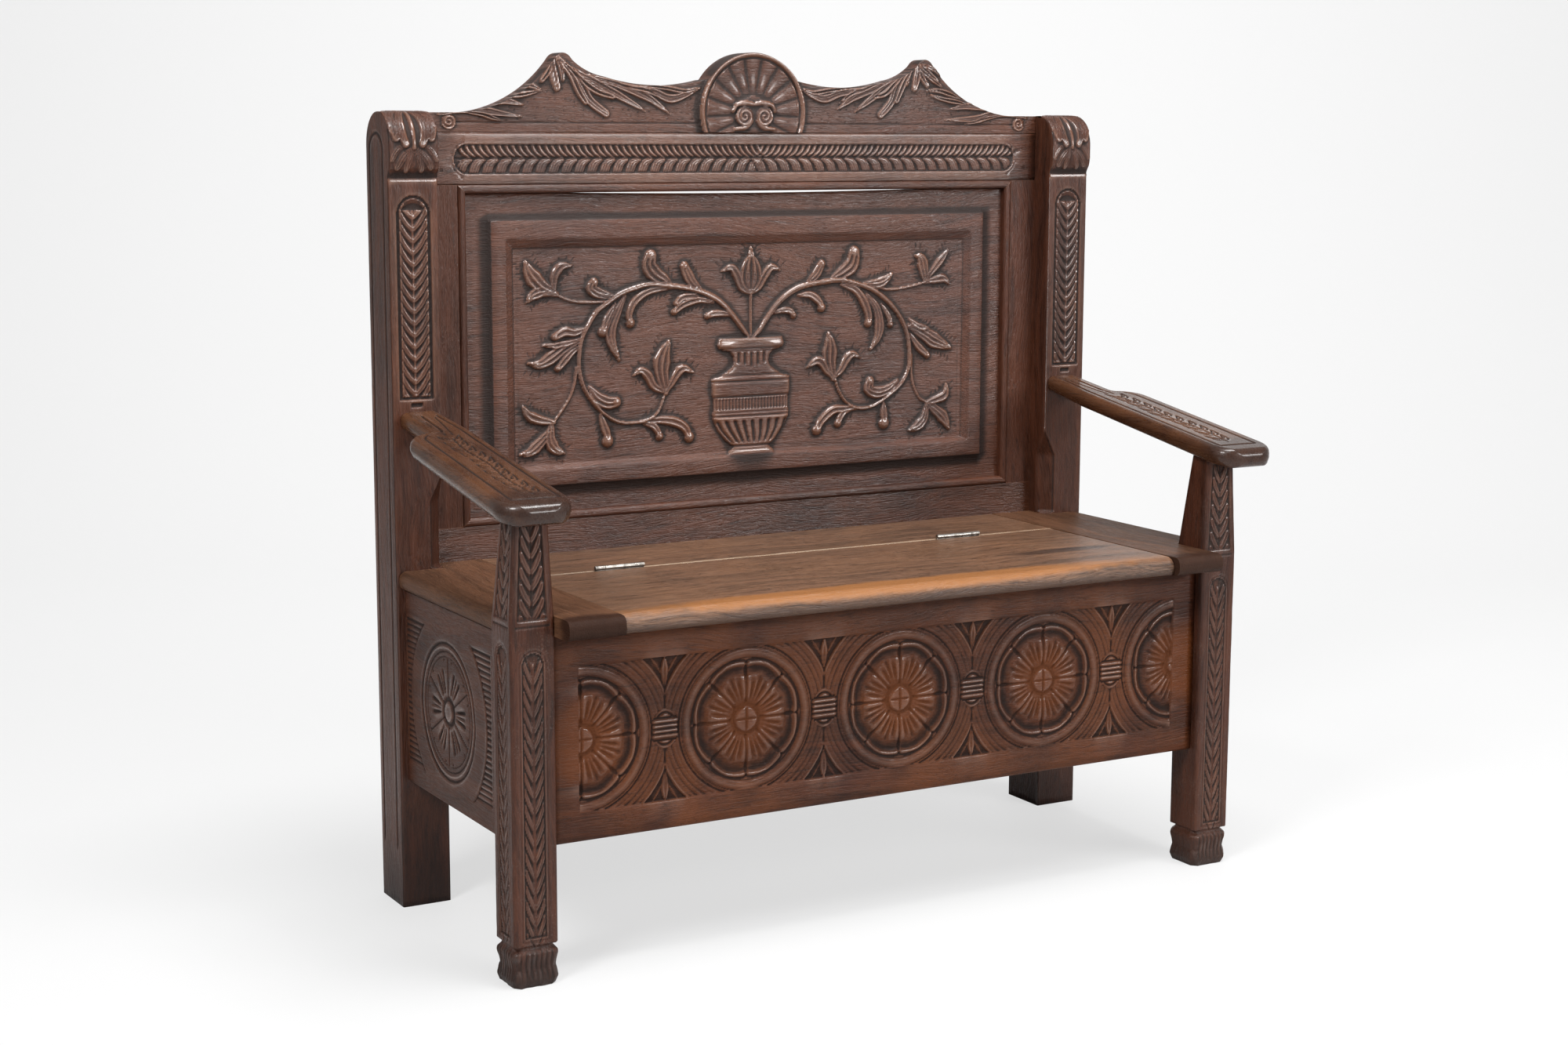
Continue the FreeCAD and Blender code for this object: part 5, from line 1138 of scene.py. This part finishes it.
def makePost(side):
    p = post
    line = postFrontLine()
    width = p["outer"] - p["inner"]
    across = np.linspace(0, width, 49)
    u, w = np.meshgrid(across, line[:, 4])
    low, high = p["bandLow"], p["bandHigh"]
    step = p["top"] - p["drop"]
    z = w + step
    canvas = canvasOn(u, w)
    carveRoll(canvas)
    mid = width / 2
    edge = bandEdge(u, z, mid, p["bandHalf"], low, high)
    band = canvasOn(u, z)
    band["h"] = np.where(edge < 0, -p["bandDepth"], 0.0)
    herringbone(band, mid + 1, p["bandHalf"] - 3, low + 3, high - 24, 16.0, -p["bandDepth"], climb=1.7)
    stem(band, [(mid + 1, low), (mid + 1, high - 22)], [2.2, 2.2], 2.0, 0, -p["bandDepth"])
    inner = np.abs(edge + 4.6)
    h = np.where(edge < 0, np.where(edge > -3.4, -p["bandDepth"] - 0.3, band["h"]), 0)
    h = np.where(edge < 0, h + 1.5 * bell(inner, 0.9), h)
    niche = (np.hypot(u - mid, z - (high - 24)) < 17) & (z > high - 20)
    h = np.where(niche, -p["bandDepth"] - 1.6 * ease(17 - np.hypot(u - mid, z - (high - 24)), 0, 5), h)
    h -= np.where((np.abs(u - mid) < 7.5) & (np.abs(z - 709.5) < 2.2), 2.6, 0)
    holes = [(mid + way * 20.5, spot) for way in (-1, 1) for spot in np.arange(low + 10, high - 26, 16.0)]
    pricks({"u": u, "w": z, "h": h}, holes, 1.6, 1.0)
    h = np.where(w > 0, canvas["h"], h)
    h += wander(h.shape, 2, 0.15) + wander(h.shape, 14, 0.25)
    # rounded corners, softer over the roll
    rim = np.minimum(u, width - u)
    h -= np.where(w < 0, 1.4 * np.clip(1 - rim / 2.0, 0, 1) ** 2, 1.0 * np.clip(1 - rim / 3.0, 0, 1) ** 2)
    frontY = line[:, 0][:, None] + line[:, 2][:, None] * h
    frontZ = line[:, 1][:, None] + line[:, 3][:, None] * h
    level = line[:, 1]
    bulge = p["rollMiddle"] + np.sqrt(np.clip(p["roll"] ** 2 - (level - p["top"] + p["roll"]) ** 2, 0, None))
    backY = np.where(level > p["top"] - p["roll"], bulge, p["back"])
    # the chamfer above the seat, on the inner front corner
    stops = [p["chamferLow"] - 0.5, p["chamferLow"] + 0.5, p["chamferFull"], p["chamferEnd"]]
    cutBack = np.interp(level, stops, [0, p["chamfer"], p["chamfer"], 0])
    c = cutBack[:, None]
    frontX = p["inner"] + c + (71 - c) * u / 71
    innerStart = frontY[:, :1] + c
    outerT = np.linspace(0, 1, 48)[1:]
    outerY = frontY[:, -1:] + (backY[:, None] - frontY[:, -1:]) * outerT
    outerZ = np.tile(level[:, None], (1, len(outerT)))
    inset = 19.5
    lineDist = np.minimum(np.abs(outerY - (p["front"] + inset)), np.abs(outerY - 251))
    inRange = (outerZ > 83) & (outerZ < 1052)
    arch = np.abs(np.hypot(outerY - 226, outerZ - 1052) - 25) * (outerZ >= 1050) + 99 * (outerZ < 1050)
    foot = np.abs(outerZ - 83) + 99 * ((outerY < p["front"] + inset) | (outerY > 251))
    groove = np.minimum(np.where(inRange, lineDist, 99), np.minimum(arch, foot))
    outerH = -1.8 * bell(groove, 2.1) + wander(outerY.shape, 6, 0.25)
    outerH[:, -1] -= 0.8
    outerX = p["outer"] + np.minimum(outerH, 0)
    backT = np.linspace(0, 1, 9)[1:]
    backX = p["outer"] + (p["inner"] - p["outer"]) * backT * np.ones((len(level), 1))
    backYs = np.tile(backY[:, None], (1, len(backT)))
    innerT = np.linspace(0, 1, 12)[1:-1]
    innerY = backY[:, None] + (innerStart - backY[:, None]) * innerT
    innerX = np.full(innerY.shape, p["inner"])
    # the chamfer's own face
    faceT = np.linspace(0, 1, 6)[:-1]
    chamX = p["inner"] + c * faceT
    chamY = innerStart + (frontY[:, :1] - innerStart) * faceT

    def flat(a):
        return np.tile(level[:, None], (1, a.shape[1]))

    x = np.concatenate([frontX, outerX, backX, innerX, chamX], 1)
    y = np.concatenate([frontY, outerY, backYs, innerY, chamY], 1)
    zz = np.concatenate([frontZ, outerZ, flat(backX), flat(innerX), flat(chamX)], 1)
    plain = np.zeros((len(level), backX.shape[1] + innerX.shape[1] + chamX.shape[1]))
    # the outer side's lines count 1.6 times in the relief: more painted shade and dirt in their grooves, more
    # painted highlight beside them
    relief = np.concatenate([reliefOf(h, 2), reliefOf(outerH, 2) * 1.6, plain], 1)
    rings, relief = sided(side, x, y, zz, relief)
    piece = ringLoft("carvedPost" + hands[side], rings, "bench", relief)
    finishPiece(piece, wood["walnutUpright"], "carved_walnut", hands[side].lower() + "_rear_post")


for side in (-1, 1):
    makePost(side)
print("posts carved")


# front legs: sunk bands, a tapered head and a bulging foot

leg = {"inner": 517.0, "outer": 578.0, "front": -206.5, "back": -145.5, "taperBase": 474.0,
       "topWidth": 47.0, "topFront": -204.0, "topBack": -167.0, "bandLow": 64.0, "bandHigh": 435.0,
       "bandHalf": 17.0, "bandDepth": 2.5, "corner": 3.0, "armHeight": 675.5,
       "armSlope": math.tan(math.radians(9.2)), "postFront": 181.5}
footStages = [(0, 59), (3, 61), (9, 65), (17, 63), (24.3, 60), (31, 61.5), (40.5, 65), (45, 64), (50.2, 55),
              (54, 54), (54.8, 60)]


def armUnder(y):
    return leg["armHeight"] - leg["armSlope"] * (leg["postFront"] - y)


def makeLeg(side):
    p = leg
    midX, midY = (p["inner"] + p["outer"]) / 2, (p["front"] + p["back"]) / 2
    foot = np.concatenate([np.arange(0, 54, 2.0), [54.0, 54.4, 54.9, 56.0]])
    shaft = np.arange(58, 466, 1.9)
    head = np.concatenate([np.arange(467, 474, 1.4), [474.0]])
    rise = np.linspace(0, 1, 74)[1:]
    levels = np.concatenate([foot, shaft, head])
    n = 38
    t = np.linspace(0, 1, n)
    count = len(levels) + len(rise)
    left, right = np.full(count, p["inner"]), np.full(count, p["outer"])
    front, back = np.full(count, p["front"]), np.full(count, p["back"])
    sizes = np.interp(foot, *zip(*footStages))
    k = len(foot)
    left[:k - 1], right[:k - 1] = midX - sizes[:-1] / 2, midX + sizes[:-1] / 2
    front[:k - 1], back[:k - 1] = midY - sizes[:-1] / 2, midY + sizes[:-1] / 2
    half = p["topWidth"] / 2
    m = len(levels)
    left[m:] = p["inner"] + (midX - half - p["inner"]) * rise
    right[m:] = p["outer"] + (midX + half - p["outer"]) * rise
    front[m:] = p["front"] + (p["topFront"] - p["front"]) * rise
    back[m:] = p["back"] + (p["topBack"] - p["back"]) * rise
    topFront, topBack = armUnder(p["topFront"]) - 0.3, armUnder(p["topBack"]) - 0.3
    cornerCut = np.where(np.arange(count) < k - 2, 8.0, p["corner"])[:, None]
    nominal = np.concatenate([levels, p["taperBase"] + (topFront - p["taperBase"]) * rise])

    def carveSide(which):
        across = (t - 0.5)[None, :] * (right - left if which == "front" else back - front)[:, None]
        z = np.tile(nominal[:, None], (1, n))
        canvas = canvasOn(across, z)
        edge = bandEdge(across, z, 0, p["bandHalf"], p["bandLow"],
                        p["bandHigh"] + (0 if which == "front" else 7))
        canvas["h"] = np.where(edge < 0, -p["bandDepth"], 0.0)
        herringbone(canvas, 0, p["bandHalf"] - 2.0, p["bandLow"] + 6, p["bandHigh"] - 22, 21.0,
                    -p["bandDepth"], 2.2, 2, 1.4, 1.7)
        stem(canvas, [(0, p["bandLow"]), (0, p["bandHigh"] - 16)], [5.0, 5.0], 2.2, 0.0, -p["bandDepth"])
        gouge(canvas, [(0, p["bandLow"] + 2), (0, p["bandHigh"] - 18)], 3.0, 1.6, False)
        h = canvas["h"]
        h = np.where((edge < 0) & (edge > -2.2), -p["bandDepth"] - 0.4, h)
        h -= 1.3 * bell(edge - 3.0, 1.1)
        # the tapered head
        grow = (topFront - z) / (topFront - p["taperBase"])
        width = 15.5 + 6.5 * grow
        tall = canvasOn(across / width * 20, z)
        tall["h"] -= 2.4
        herringbone(tall, 0, 17, p["taperBase"] + 8, topFront - 26, 20.0, -2.4, 2.3, 2, 1.2, 1.6)
        gouge(tall, [(0, p["taperBase"] + 6), (0, topFront - 12)], 3.0, 1.6, False)
        inHead = (z > p["taperBase"] + 4) & (z < topFront - 9) & (np.abs(across) < width)
        h = np.where(inHead, tall["h"], h)
        border = np.maximum(np.abs(across) - width, np.maximum(p["taperBase"] + 4 - z, z - topFront + 9))
        h -= np.where(z > p["taperBase"], 1.5 * bell(border, 1.1), 0)
        h -= 1.4 * bell(z - 469, 1.3) * (np.abs(across) < 27)
        # upright cuts on the foot
        onFoot = z < 53
        flutes = -1.3 * np.clip(np.cos(across * 2 * np.pi / 9.5 + 0.6 * np.sin(z / 7)), 0, 1)
        h = np.where(onFoot, flutes * ease(z, 6, 14) * (1 - ease(z, 44, 50)) - 0.4, h)
        h += wander(h.shape, 2, 0.2) + wander(h.shape, 12, 0.25)
        h += np.where(onFoot, wander(h.shape, 2, 1.2), 0)
        return np.minimum(h, 0.4)

    frontH, sideH = carveSide("front"), carveSide("side")
    leftX, rightX, frontY, backY = (a[:, None] for a in (left, right, front, back))
    wide, deep = rightX - leftX - 2 * cornerCut, backY - frontY - 2 * cornerCut
    few = np.linspace(0, 1, 9)
    same = np.ones((1, len(few)))
    x = np.concatenate([leftX + cornerCut + wide * t, rightX + sideH,
                        rightX - cornerCut - wide * few, leftX * same], 1)
    y = np.concatenate([frontY - frontH, frontY + cornerCut + deep * t,
                        backY * same, backY - cornerCut - deep * few], 1)
    # the head's top follows the sloping arm
    share = np.concatenate([np.zeros(m), rise])[:, None]
    slope = (topBack - topFront) / (p["topBack"] - p["topFront"])
    z = np.clip(nominal[:, None] + (y - p["topFront"]) * slope * share, 0, None)
    relief = np.concatenate([reliefOf(frontH, 2), reliefOf(sideH, 2), np.zeros((count, 2 * len(few)))], 1)
    rings, relief = sided(side, x, y, z, relief)
    piece = ringLoft("carvedLeg" + hands[side], rings, "bench", relief)
    finishPiece(piece, wood["walnutLeg"], "carved_walnut", hands[side].lower() + "_front_leg")


for side in (-1, 1):
    makeLeg(side)
print("legs carved")


# arms: sawn to a waist, rounded all round and incised on top

arm = {"post": 181.5, "nose": -263.5, "neck": 88.5, "neckInner": 513.0, "neckOuter": 569.0, "inner": 505.0,
       "outer": 607.0, "hollow": 14.0, "shoulder": 32.0, "noseRadius": 38.0, "edge": 11.0, "top": 700.3,
       "topSlope": math.tan(math.radians(8.83)), "under": 675.5, "underSlope": math.tan(math.radians(9.2))}


def armPlan(y):
    p = arm
    low = np.interp(y, [p["neck"], p["post"]], [p["inner"], p["neckInner"]])
    swing = p["hollow"] + p["shoulder"]
    turn = 1 - (p["outer"] - p["neckOuter"]) / swing
    turnSine = math.sqrt(1 - turn * turn)
    centre = p["neck"] - swing * turnSine
    turnY = p["neck"] - p["hollow"] * turnSine
    hollow = p["neckOuter"] + p["hollow"] - np.sqrt(np.clip(p["hollow"] ** 2 - (p["neck"] - y) ** 2, 0, None))
    swell = p["outer"] - p["shoulder"] + np.sqrt(np.clip(p["shoulder"] ** 2 - (y - centre) ** 2, 0, None))
    high = np.where(y >= p["neck"], p["neckOuter"],
                    np.where(y > turnY, hollow, np.where(y > centre, swell, p["outer"])))
    near = np.clip(p["noseRadius"] - (y - p["nose"]), 0, None)
    cut = p["noseRadius"] - np.sqrt(np.clip(p["noseRadius"] ** 2 - near ** 2, 0, None))
    return low + cut, high - cut


def roundDrop(edge, radius):
    return radius - np.sqrt(np.clip(radius * radius - np.clip(radius - edge, 0, radius) ** 2, 0, None))


def makeArm(side):
    p = arm
    start = 40 - 40 * np.cos(np.linspace(0.04, np.pi / 2, 34))
    ys = np.concatenate([p["nose"] + start[start < 38], np.arange(p["nose"] + 39, p["post"] - 0.5, 1.9),
                         [p["post"] - 0.2]])
    a, b = armPlan(ys)
    n = 62
    lean = (1 - np.cos(np.linspace(0, np.pi, n))) / 2 * 0.35 + np.linspace(0, 1, n) * 0.65
    x = a[:, None] + (b - a)[:, None] * lean
    y = np.tile(ys[:, None], (1, n))
    edge = np.minimum(np.minimum(x - a[:, None], b[:, None] - x), y - p["nose"])
    top = p["top"] - p["topSlope"] * (p["post"] - y)
    canvas = canvasOn(x, y)
    margin = np.minimum(x - a[:, None] - 15, np.minimum(b[:, None] - x - 22, y - p["nose"] - 30))
    ring = 1.6 * bell(margin, 1.5)
    canvas["h"] = -ring * (y < p["post"] - 22)
    vein = [(547, -218), (553, -150), (549, -80), (553, -10), (548, 45)]
    gouge(canvas, vein, 3.6, 1.6, False)
    vein = smoothPath(vein)
    for foot in np.arange(-212, 36, 27.0):
        centre = np.interp(foot, vein[:, 1], vein[:, 0])
        for way in (-1, 1):
            tip = (centre + way * 15.5, foot + 30)
            gouge(canvas, [(centre, foot), (centre + way * 12, foot + 8), tip], 3.6, 1.6)
            gouge(canvas, [(centre + way * 1, foot + 9), (centre + way * 7, foot + 16), tip], 3.4, 1.4)
            gouge(canvas, [(centre + way * 4, foot + 7), (centre + way * 10.5, foot + 17)], 3.0, 1.2)
    for way in (-1, 1):
        gouge(canvas, [(546 + way * 5, 62), (541 + way * 6, 110), (540 + way * 9, 152)], 3.2, 1.2, False)
    h = canvas["h"] * 1.7 + wander(x.shape, 8, 0.12) + wander(x.shape, 20, 0.4)
    h *= ease(edge, 0, 4)
    topZ = top - roundDrop(edge, p["edge"]) + h
    m = 30
    lowT = np.linspace(1, 0, m)
    lowX = a[:, None] + (b - a)[:, None] * lowT
    lowY = np.tile(ys[:, None], (1, m))
    lowEdge = np.minimum(np.minimum(lowX - a[:, None], b[:, None] - lowX), lowY - p["nose"])
    lowZ = (p["under"] - p["underSlope"] * (p["post"] - lowY)) + roundDrop(lowEdge, p["edge"])
    xs = np.concatenate([x, lowX], 1)
    yy = np.concatenate([y, lowY], 1)
    zz = np.concatenate([topZ, lowZ], 1)
    relief = np.concatenate([reliefOf(h, 2), np.zeros((len(ys), m))], 1)
    rings, relief = sided(side, xs, yy, zz, relief)
    piece = ringLoft("carvedArm" + hands[side], rings, "bench", relief)
    finishPiece(piece, wood["walnutArm"], "carved_walnut", hands[side].lower() + "_arm")


for side in (-1, 1):
    makeArm(side)
print("arms carved")


# seat lid and rear board: planks with worn arrises

planks = {
    "wornSeatLid": {"node": "seat_lid", "body": "lid", "half": 437.5, "front": -241.5, "back": 56.9,
                    "low": 453.8, "high": 480.0, "nose": 16.0, "underNose": 8.0, "arris": 2.2},
    "wornRearBoard": {"node": "seat_rear_board", "body": "bench", "half": 438.5, "front": 60.1,
                      "back": 222.5, "low": 453.8, "high": 480.0, "nose": 2.2, "underNose": 1.0,
                      "arris": 1.6}}


def quarter(centreY, centreZ, radius, start, end, count):
    angles = np.radians(np.linspace(start, end, count))
    return [(centreY + radius * math.cos(a), centreZ + radius * math.sin(a)) for a in angles]


def makePlank(name, p):
    r, n, m = p["arris"], p["nose"], p["underNose"]
    top = [(y, p["high"]) for y in np.linspace(p["front"] + n + 2, p["back"] - r - 2, 46)]
    outline = [(p["front"] + m, p["low"])]
    outline += quarter(p["front"] + m, p["low"] + m, m, 265, 182, 7)
    outline += quarter(p["front"] + n, p["high"] - n, n, 178, 92, 14) + top
    outline += quarter(p["back"] - r, p["high"] - r, r, 88, 2, 5)
    outline += [(p["back"], (p["low"] + p["high"]) / 2), (p["back"], p["low"])]
    outline += [(y, p["low"]) for y in np.linspace(p["back"], p["front"] + m, 8)[1:-1]]
    section = np.array(outline)
    steps = np.concatenate([[0, 0.5, 1.2, 2.4], np.arange(6, 2 * p["half"] - 5, 3.5)])
    xs = np.unique(np.concatenate([-p["half"] + steps, p["half"] - np.array([0, 0.5, 1.2, 2.4])]))
    inset = np.clip(2.4 - (p["half"] - np.abs(xs)), 0, None)
    drop = (r - np.sqrt(np.clip(r * r - np.minimum(inset, r) ** 2, 0, None)))[:, None]
    middle = section.mean(0)
    y = section[:, 0][None, :] + np.clip(middle[0] - section[:, 0], -1, 1)[None, :] * drop
    z = section[:, 1][None, :] + np.clip((middle[1] - section[:, 1]) / 8, -1, 1)[None, :] * drop
    x = np.tile(xs[:, None], (1, len(section)))
    onTop = (section[:, 1] > p["high"] - n - 1)[None, :] & (section[:, 0] < p["back"] - r)[None, :]
    wear = (np.clip(wander(x.shape, 5, 0.5) + wander(x.shape, 20, 0.7), -1.2, 0) - 0.05) * onTop
    z = z + wear * np.interp(section[:, 1], [p["high"] - n, p["high"]], [0.3, 1])[None, :]
    rings = np.stack([x, y, z], -1)[:, ::-1]
    piece = ringLoft(name, rings, p["body"], np.zeros(x.shape))
    finishPiece(piece, wood["seatBoard"], "seat_board", p["node"])


for name, p in planks.items():
    makePlank(name, p)
print("seat planks made")


# materials on the pieces that keep their own solids

finishes = {**wood, "hingeSteel": steelMaterial()}
dressed = {
    "walnutUpright": ["right_back_stile", "left_back_stile", "right_panel_moulding", "left_panel_moulding"],
    "walnutAcross": ["top_panel_moulding", "bottom_panel_moulding", "back_bottom_rail", "frame_pegs",
                     "crest_dowels"],
    "endBoard": ["right_seat_end_board", "left_seat_end_board"],
    "plainBoard": ["chest_back_board", "chest_floor_front_batten", "chest_floor_rear_batten",
                   "chest_floor_board_1", "chest_floor_board_2", "chest_floor_board_3", "seat_rear_cleat",
                   "right_lid_batten", "left_lid_batten"],
    "hingeSteel": ["left_hinge_fixed_leaf", "right_hinge_fixed_leaf", "left_hinge_lid_leaf",
                   "right_hinge_lid_leaf", "left_hinge_pin", "right_hinge_pin", "hinge_fixed_screws",
                   "hinge_lid_screws"]}
for finish, nodes in dressed.items():
    for node in nodes:
        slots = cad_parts[node].data.materials
        slots.clear()
        slots.append(finishes[finish])

# floor, lamps and camera

studio = {"floor": (0.58, 0.58, 0.58), "glow": 0.62, "width": 16.0, "front": -6.0, "back": 5.0, "rise": 7.0,
          "bend": 2.5, "air": 0.20, "seenAir": 0.80, "mirroredAir": 0.35}
view = {"lens": 56.185, "spot": (-1.7547, -2.9655, 1.0809), "tilt": 80.92, "roll": -0.003, "turn": -29.58}
lamps = {
    "keyLeft": {"spot": (-3.4, -1.9, 3.4), "aim": (0, 0, 0.6), "size": (1.2, 1.2), "watts": 165},
    "fillRight": {"spot": (1.9, -3.3, 1.75), "aim": (0, 0.2, 1.0), "size": (2.4, 0.7), "watts": 115},
    "top": {"spot": (0.3, -0.9, 4.2), "aim": (0, 0, 0.4), "size": (2.0, 1.2), "watts": 180},
    "backdrop": {"spot": (1.09, 1.91, 3.2), "aim": (2.47, 4.35, 1.0), "size": (4.0, 1.0), "watts": 80}}


def makeStudio():
    s = studio
    line = [(s["front"], 0.0), (s["back"] - s["bend"], 0.0)]
    line += [(s["back"] - s["bend"] + s["bend"] * math.sin(a), s["bend"] - s["bend"] * math.cos(a))
             for a in np.linspace(0, math.pi / 2, 20)[1:]]
    line.append((s["back"], s["rise"]))
    verts, faces = [], []
    tilt = math.radians(-view["turn"])
    turnCos, turnSin = math.cos(tilt), math.sin(tilt)
    for y, z in line:
        for x in (-s["width"] / 2, s["width"] / 2):
            verts.append((x * turnCos + y * turnSin, y * turnCos - x * turnSin, z))
    for i in range(len(line) - 1):
        faces.append((2 * i, 2 * i + 1, 2 * i + 3, 2 * i + 2))
    mesh = bpy.data.meshes.new("paperSweep")
    mesh.from_pydata(verts, [], faces)
    mesh.polygons.foreach_set("use_smooth", [True] * len(faces))
    sweep = bpy.data.objects.new("paperSweep", mesh)
    bpy.context.scene.collection.objects.link(sweep)
    material = bpy.data.materials.new("paper")
    material.use_nodes = True
    tree = material.node_tree
    shader = tree.nodes["Principled BSDF"]
    shader.inputs["Base Color"].default_value = (*s["floor"], 1)
    shader.inputs["Roughness"].default_value = 0.6
    shader.inputs["Specular IOR Level"].default_value = 0.2
    glow = add(tree, "ShaderNodeEmission")
    glow.inputs["Color"].default_value = (1, 1, 1, 1)
    path = add(tree, "ShaderNodeLightPath")
    mix = add(tree, "ShaderNodeMixShader")
    tree.links.new(maths(tree, "MULTIPLY", path.outputs["Is Camera Ray"], s["glow"]), mix.inputs[0])
    tree.links.new(shader.outputs[0], mix.inputs[1])
    tree.links.new(glow.outputs[0], mix.inputs[2])
    tree.links.new(mix.outputs[0], tree.nodes["Material Output"].inputs["Surface"])
    mesh.materials.append(material)


def addLamp(name, p):
    lamp = bpy.data.lights.new(name, "AREA")
    lamp.shape = "RECTANGLE"
    lamp.size, lamp.size_y = p["size"]
    lamp.energy = p["watts"]
    thing = bpy.data.objects.new(name, lamp)
    bpy.context.scene.collection.objects.link(thing)
    thing.location = p["spot"]
    thing.rotation_euler = (Vector(p["aim"]) - Vector(p["spot"])).to_track_quat("-Z", "Y").to_euler()


makeStudio()
for name, p in lamps.items():
    addLamp(name, p)

world = bpy.data.worlds.new("studio")
bpy.context.scene.world = world
world.use_nodes = True
tree = world.node_tree
background = tree.nodes["Background"]
background.inputs["Color"].default_value = (1, 1, 1, 1)
path = add(tree, "ShaderNodeLightPath")
mirrored = maths(tree, "MULTIPLY", path.outputs["Is Glossy Ray"], studio["mirroredAir"])
seen = maths(tree, "MAXIMUM", path.outputs["Is Camera Ray"], mirrored)
strength = maths(tree, "MULTIPLY_ADD", seen, studio["seenAir"], studio["air"])
tree.links.new(strength, background.inputs["Strength"])

camera = bpy.data.objects.new("camera", bpy.data.cameras.new("camera"))
bpy.context.scene.collection.objects.link(camera)
camera.data.sensor_width = 36.0
camera.data.lens = view["lens"]
camera.location = view["spot"]
camera.rotation_euler = (math.radians(view["tilt"]), view["roll"], math.radians(view["turn"]))
camera.data.clip_end = 60
bpy.context.scene.camera = camera
bpy.context.scene.view_settings.view_transform = "Standard"
print("studio ready")
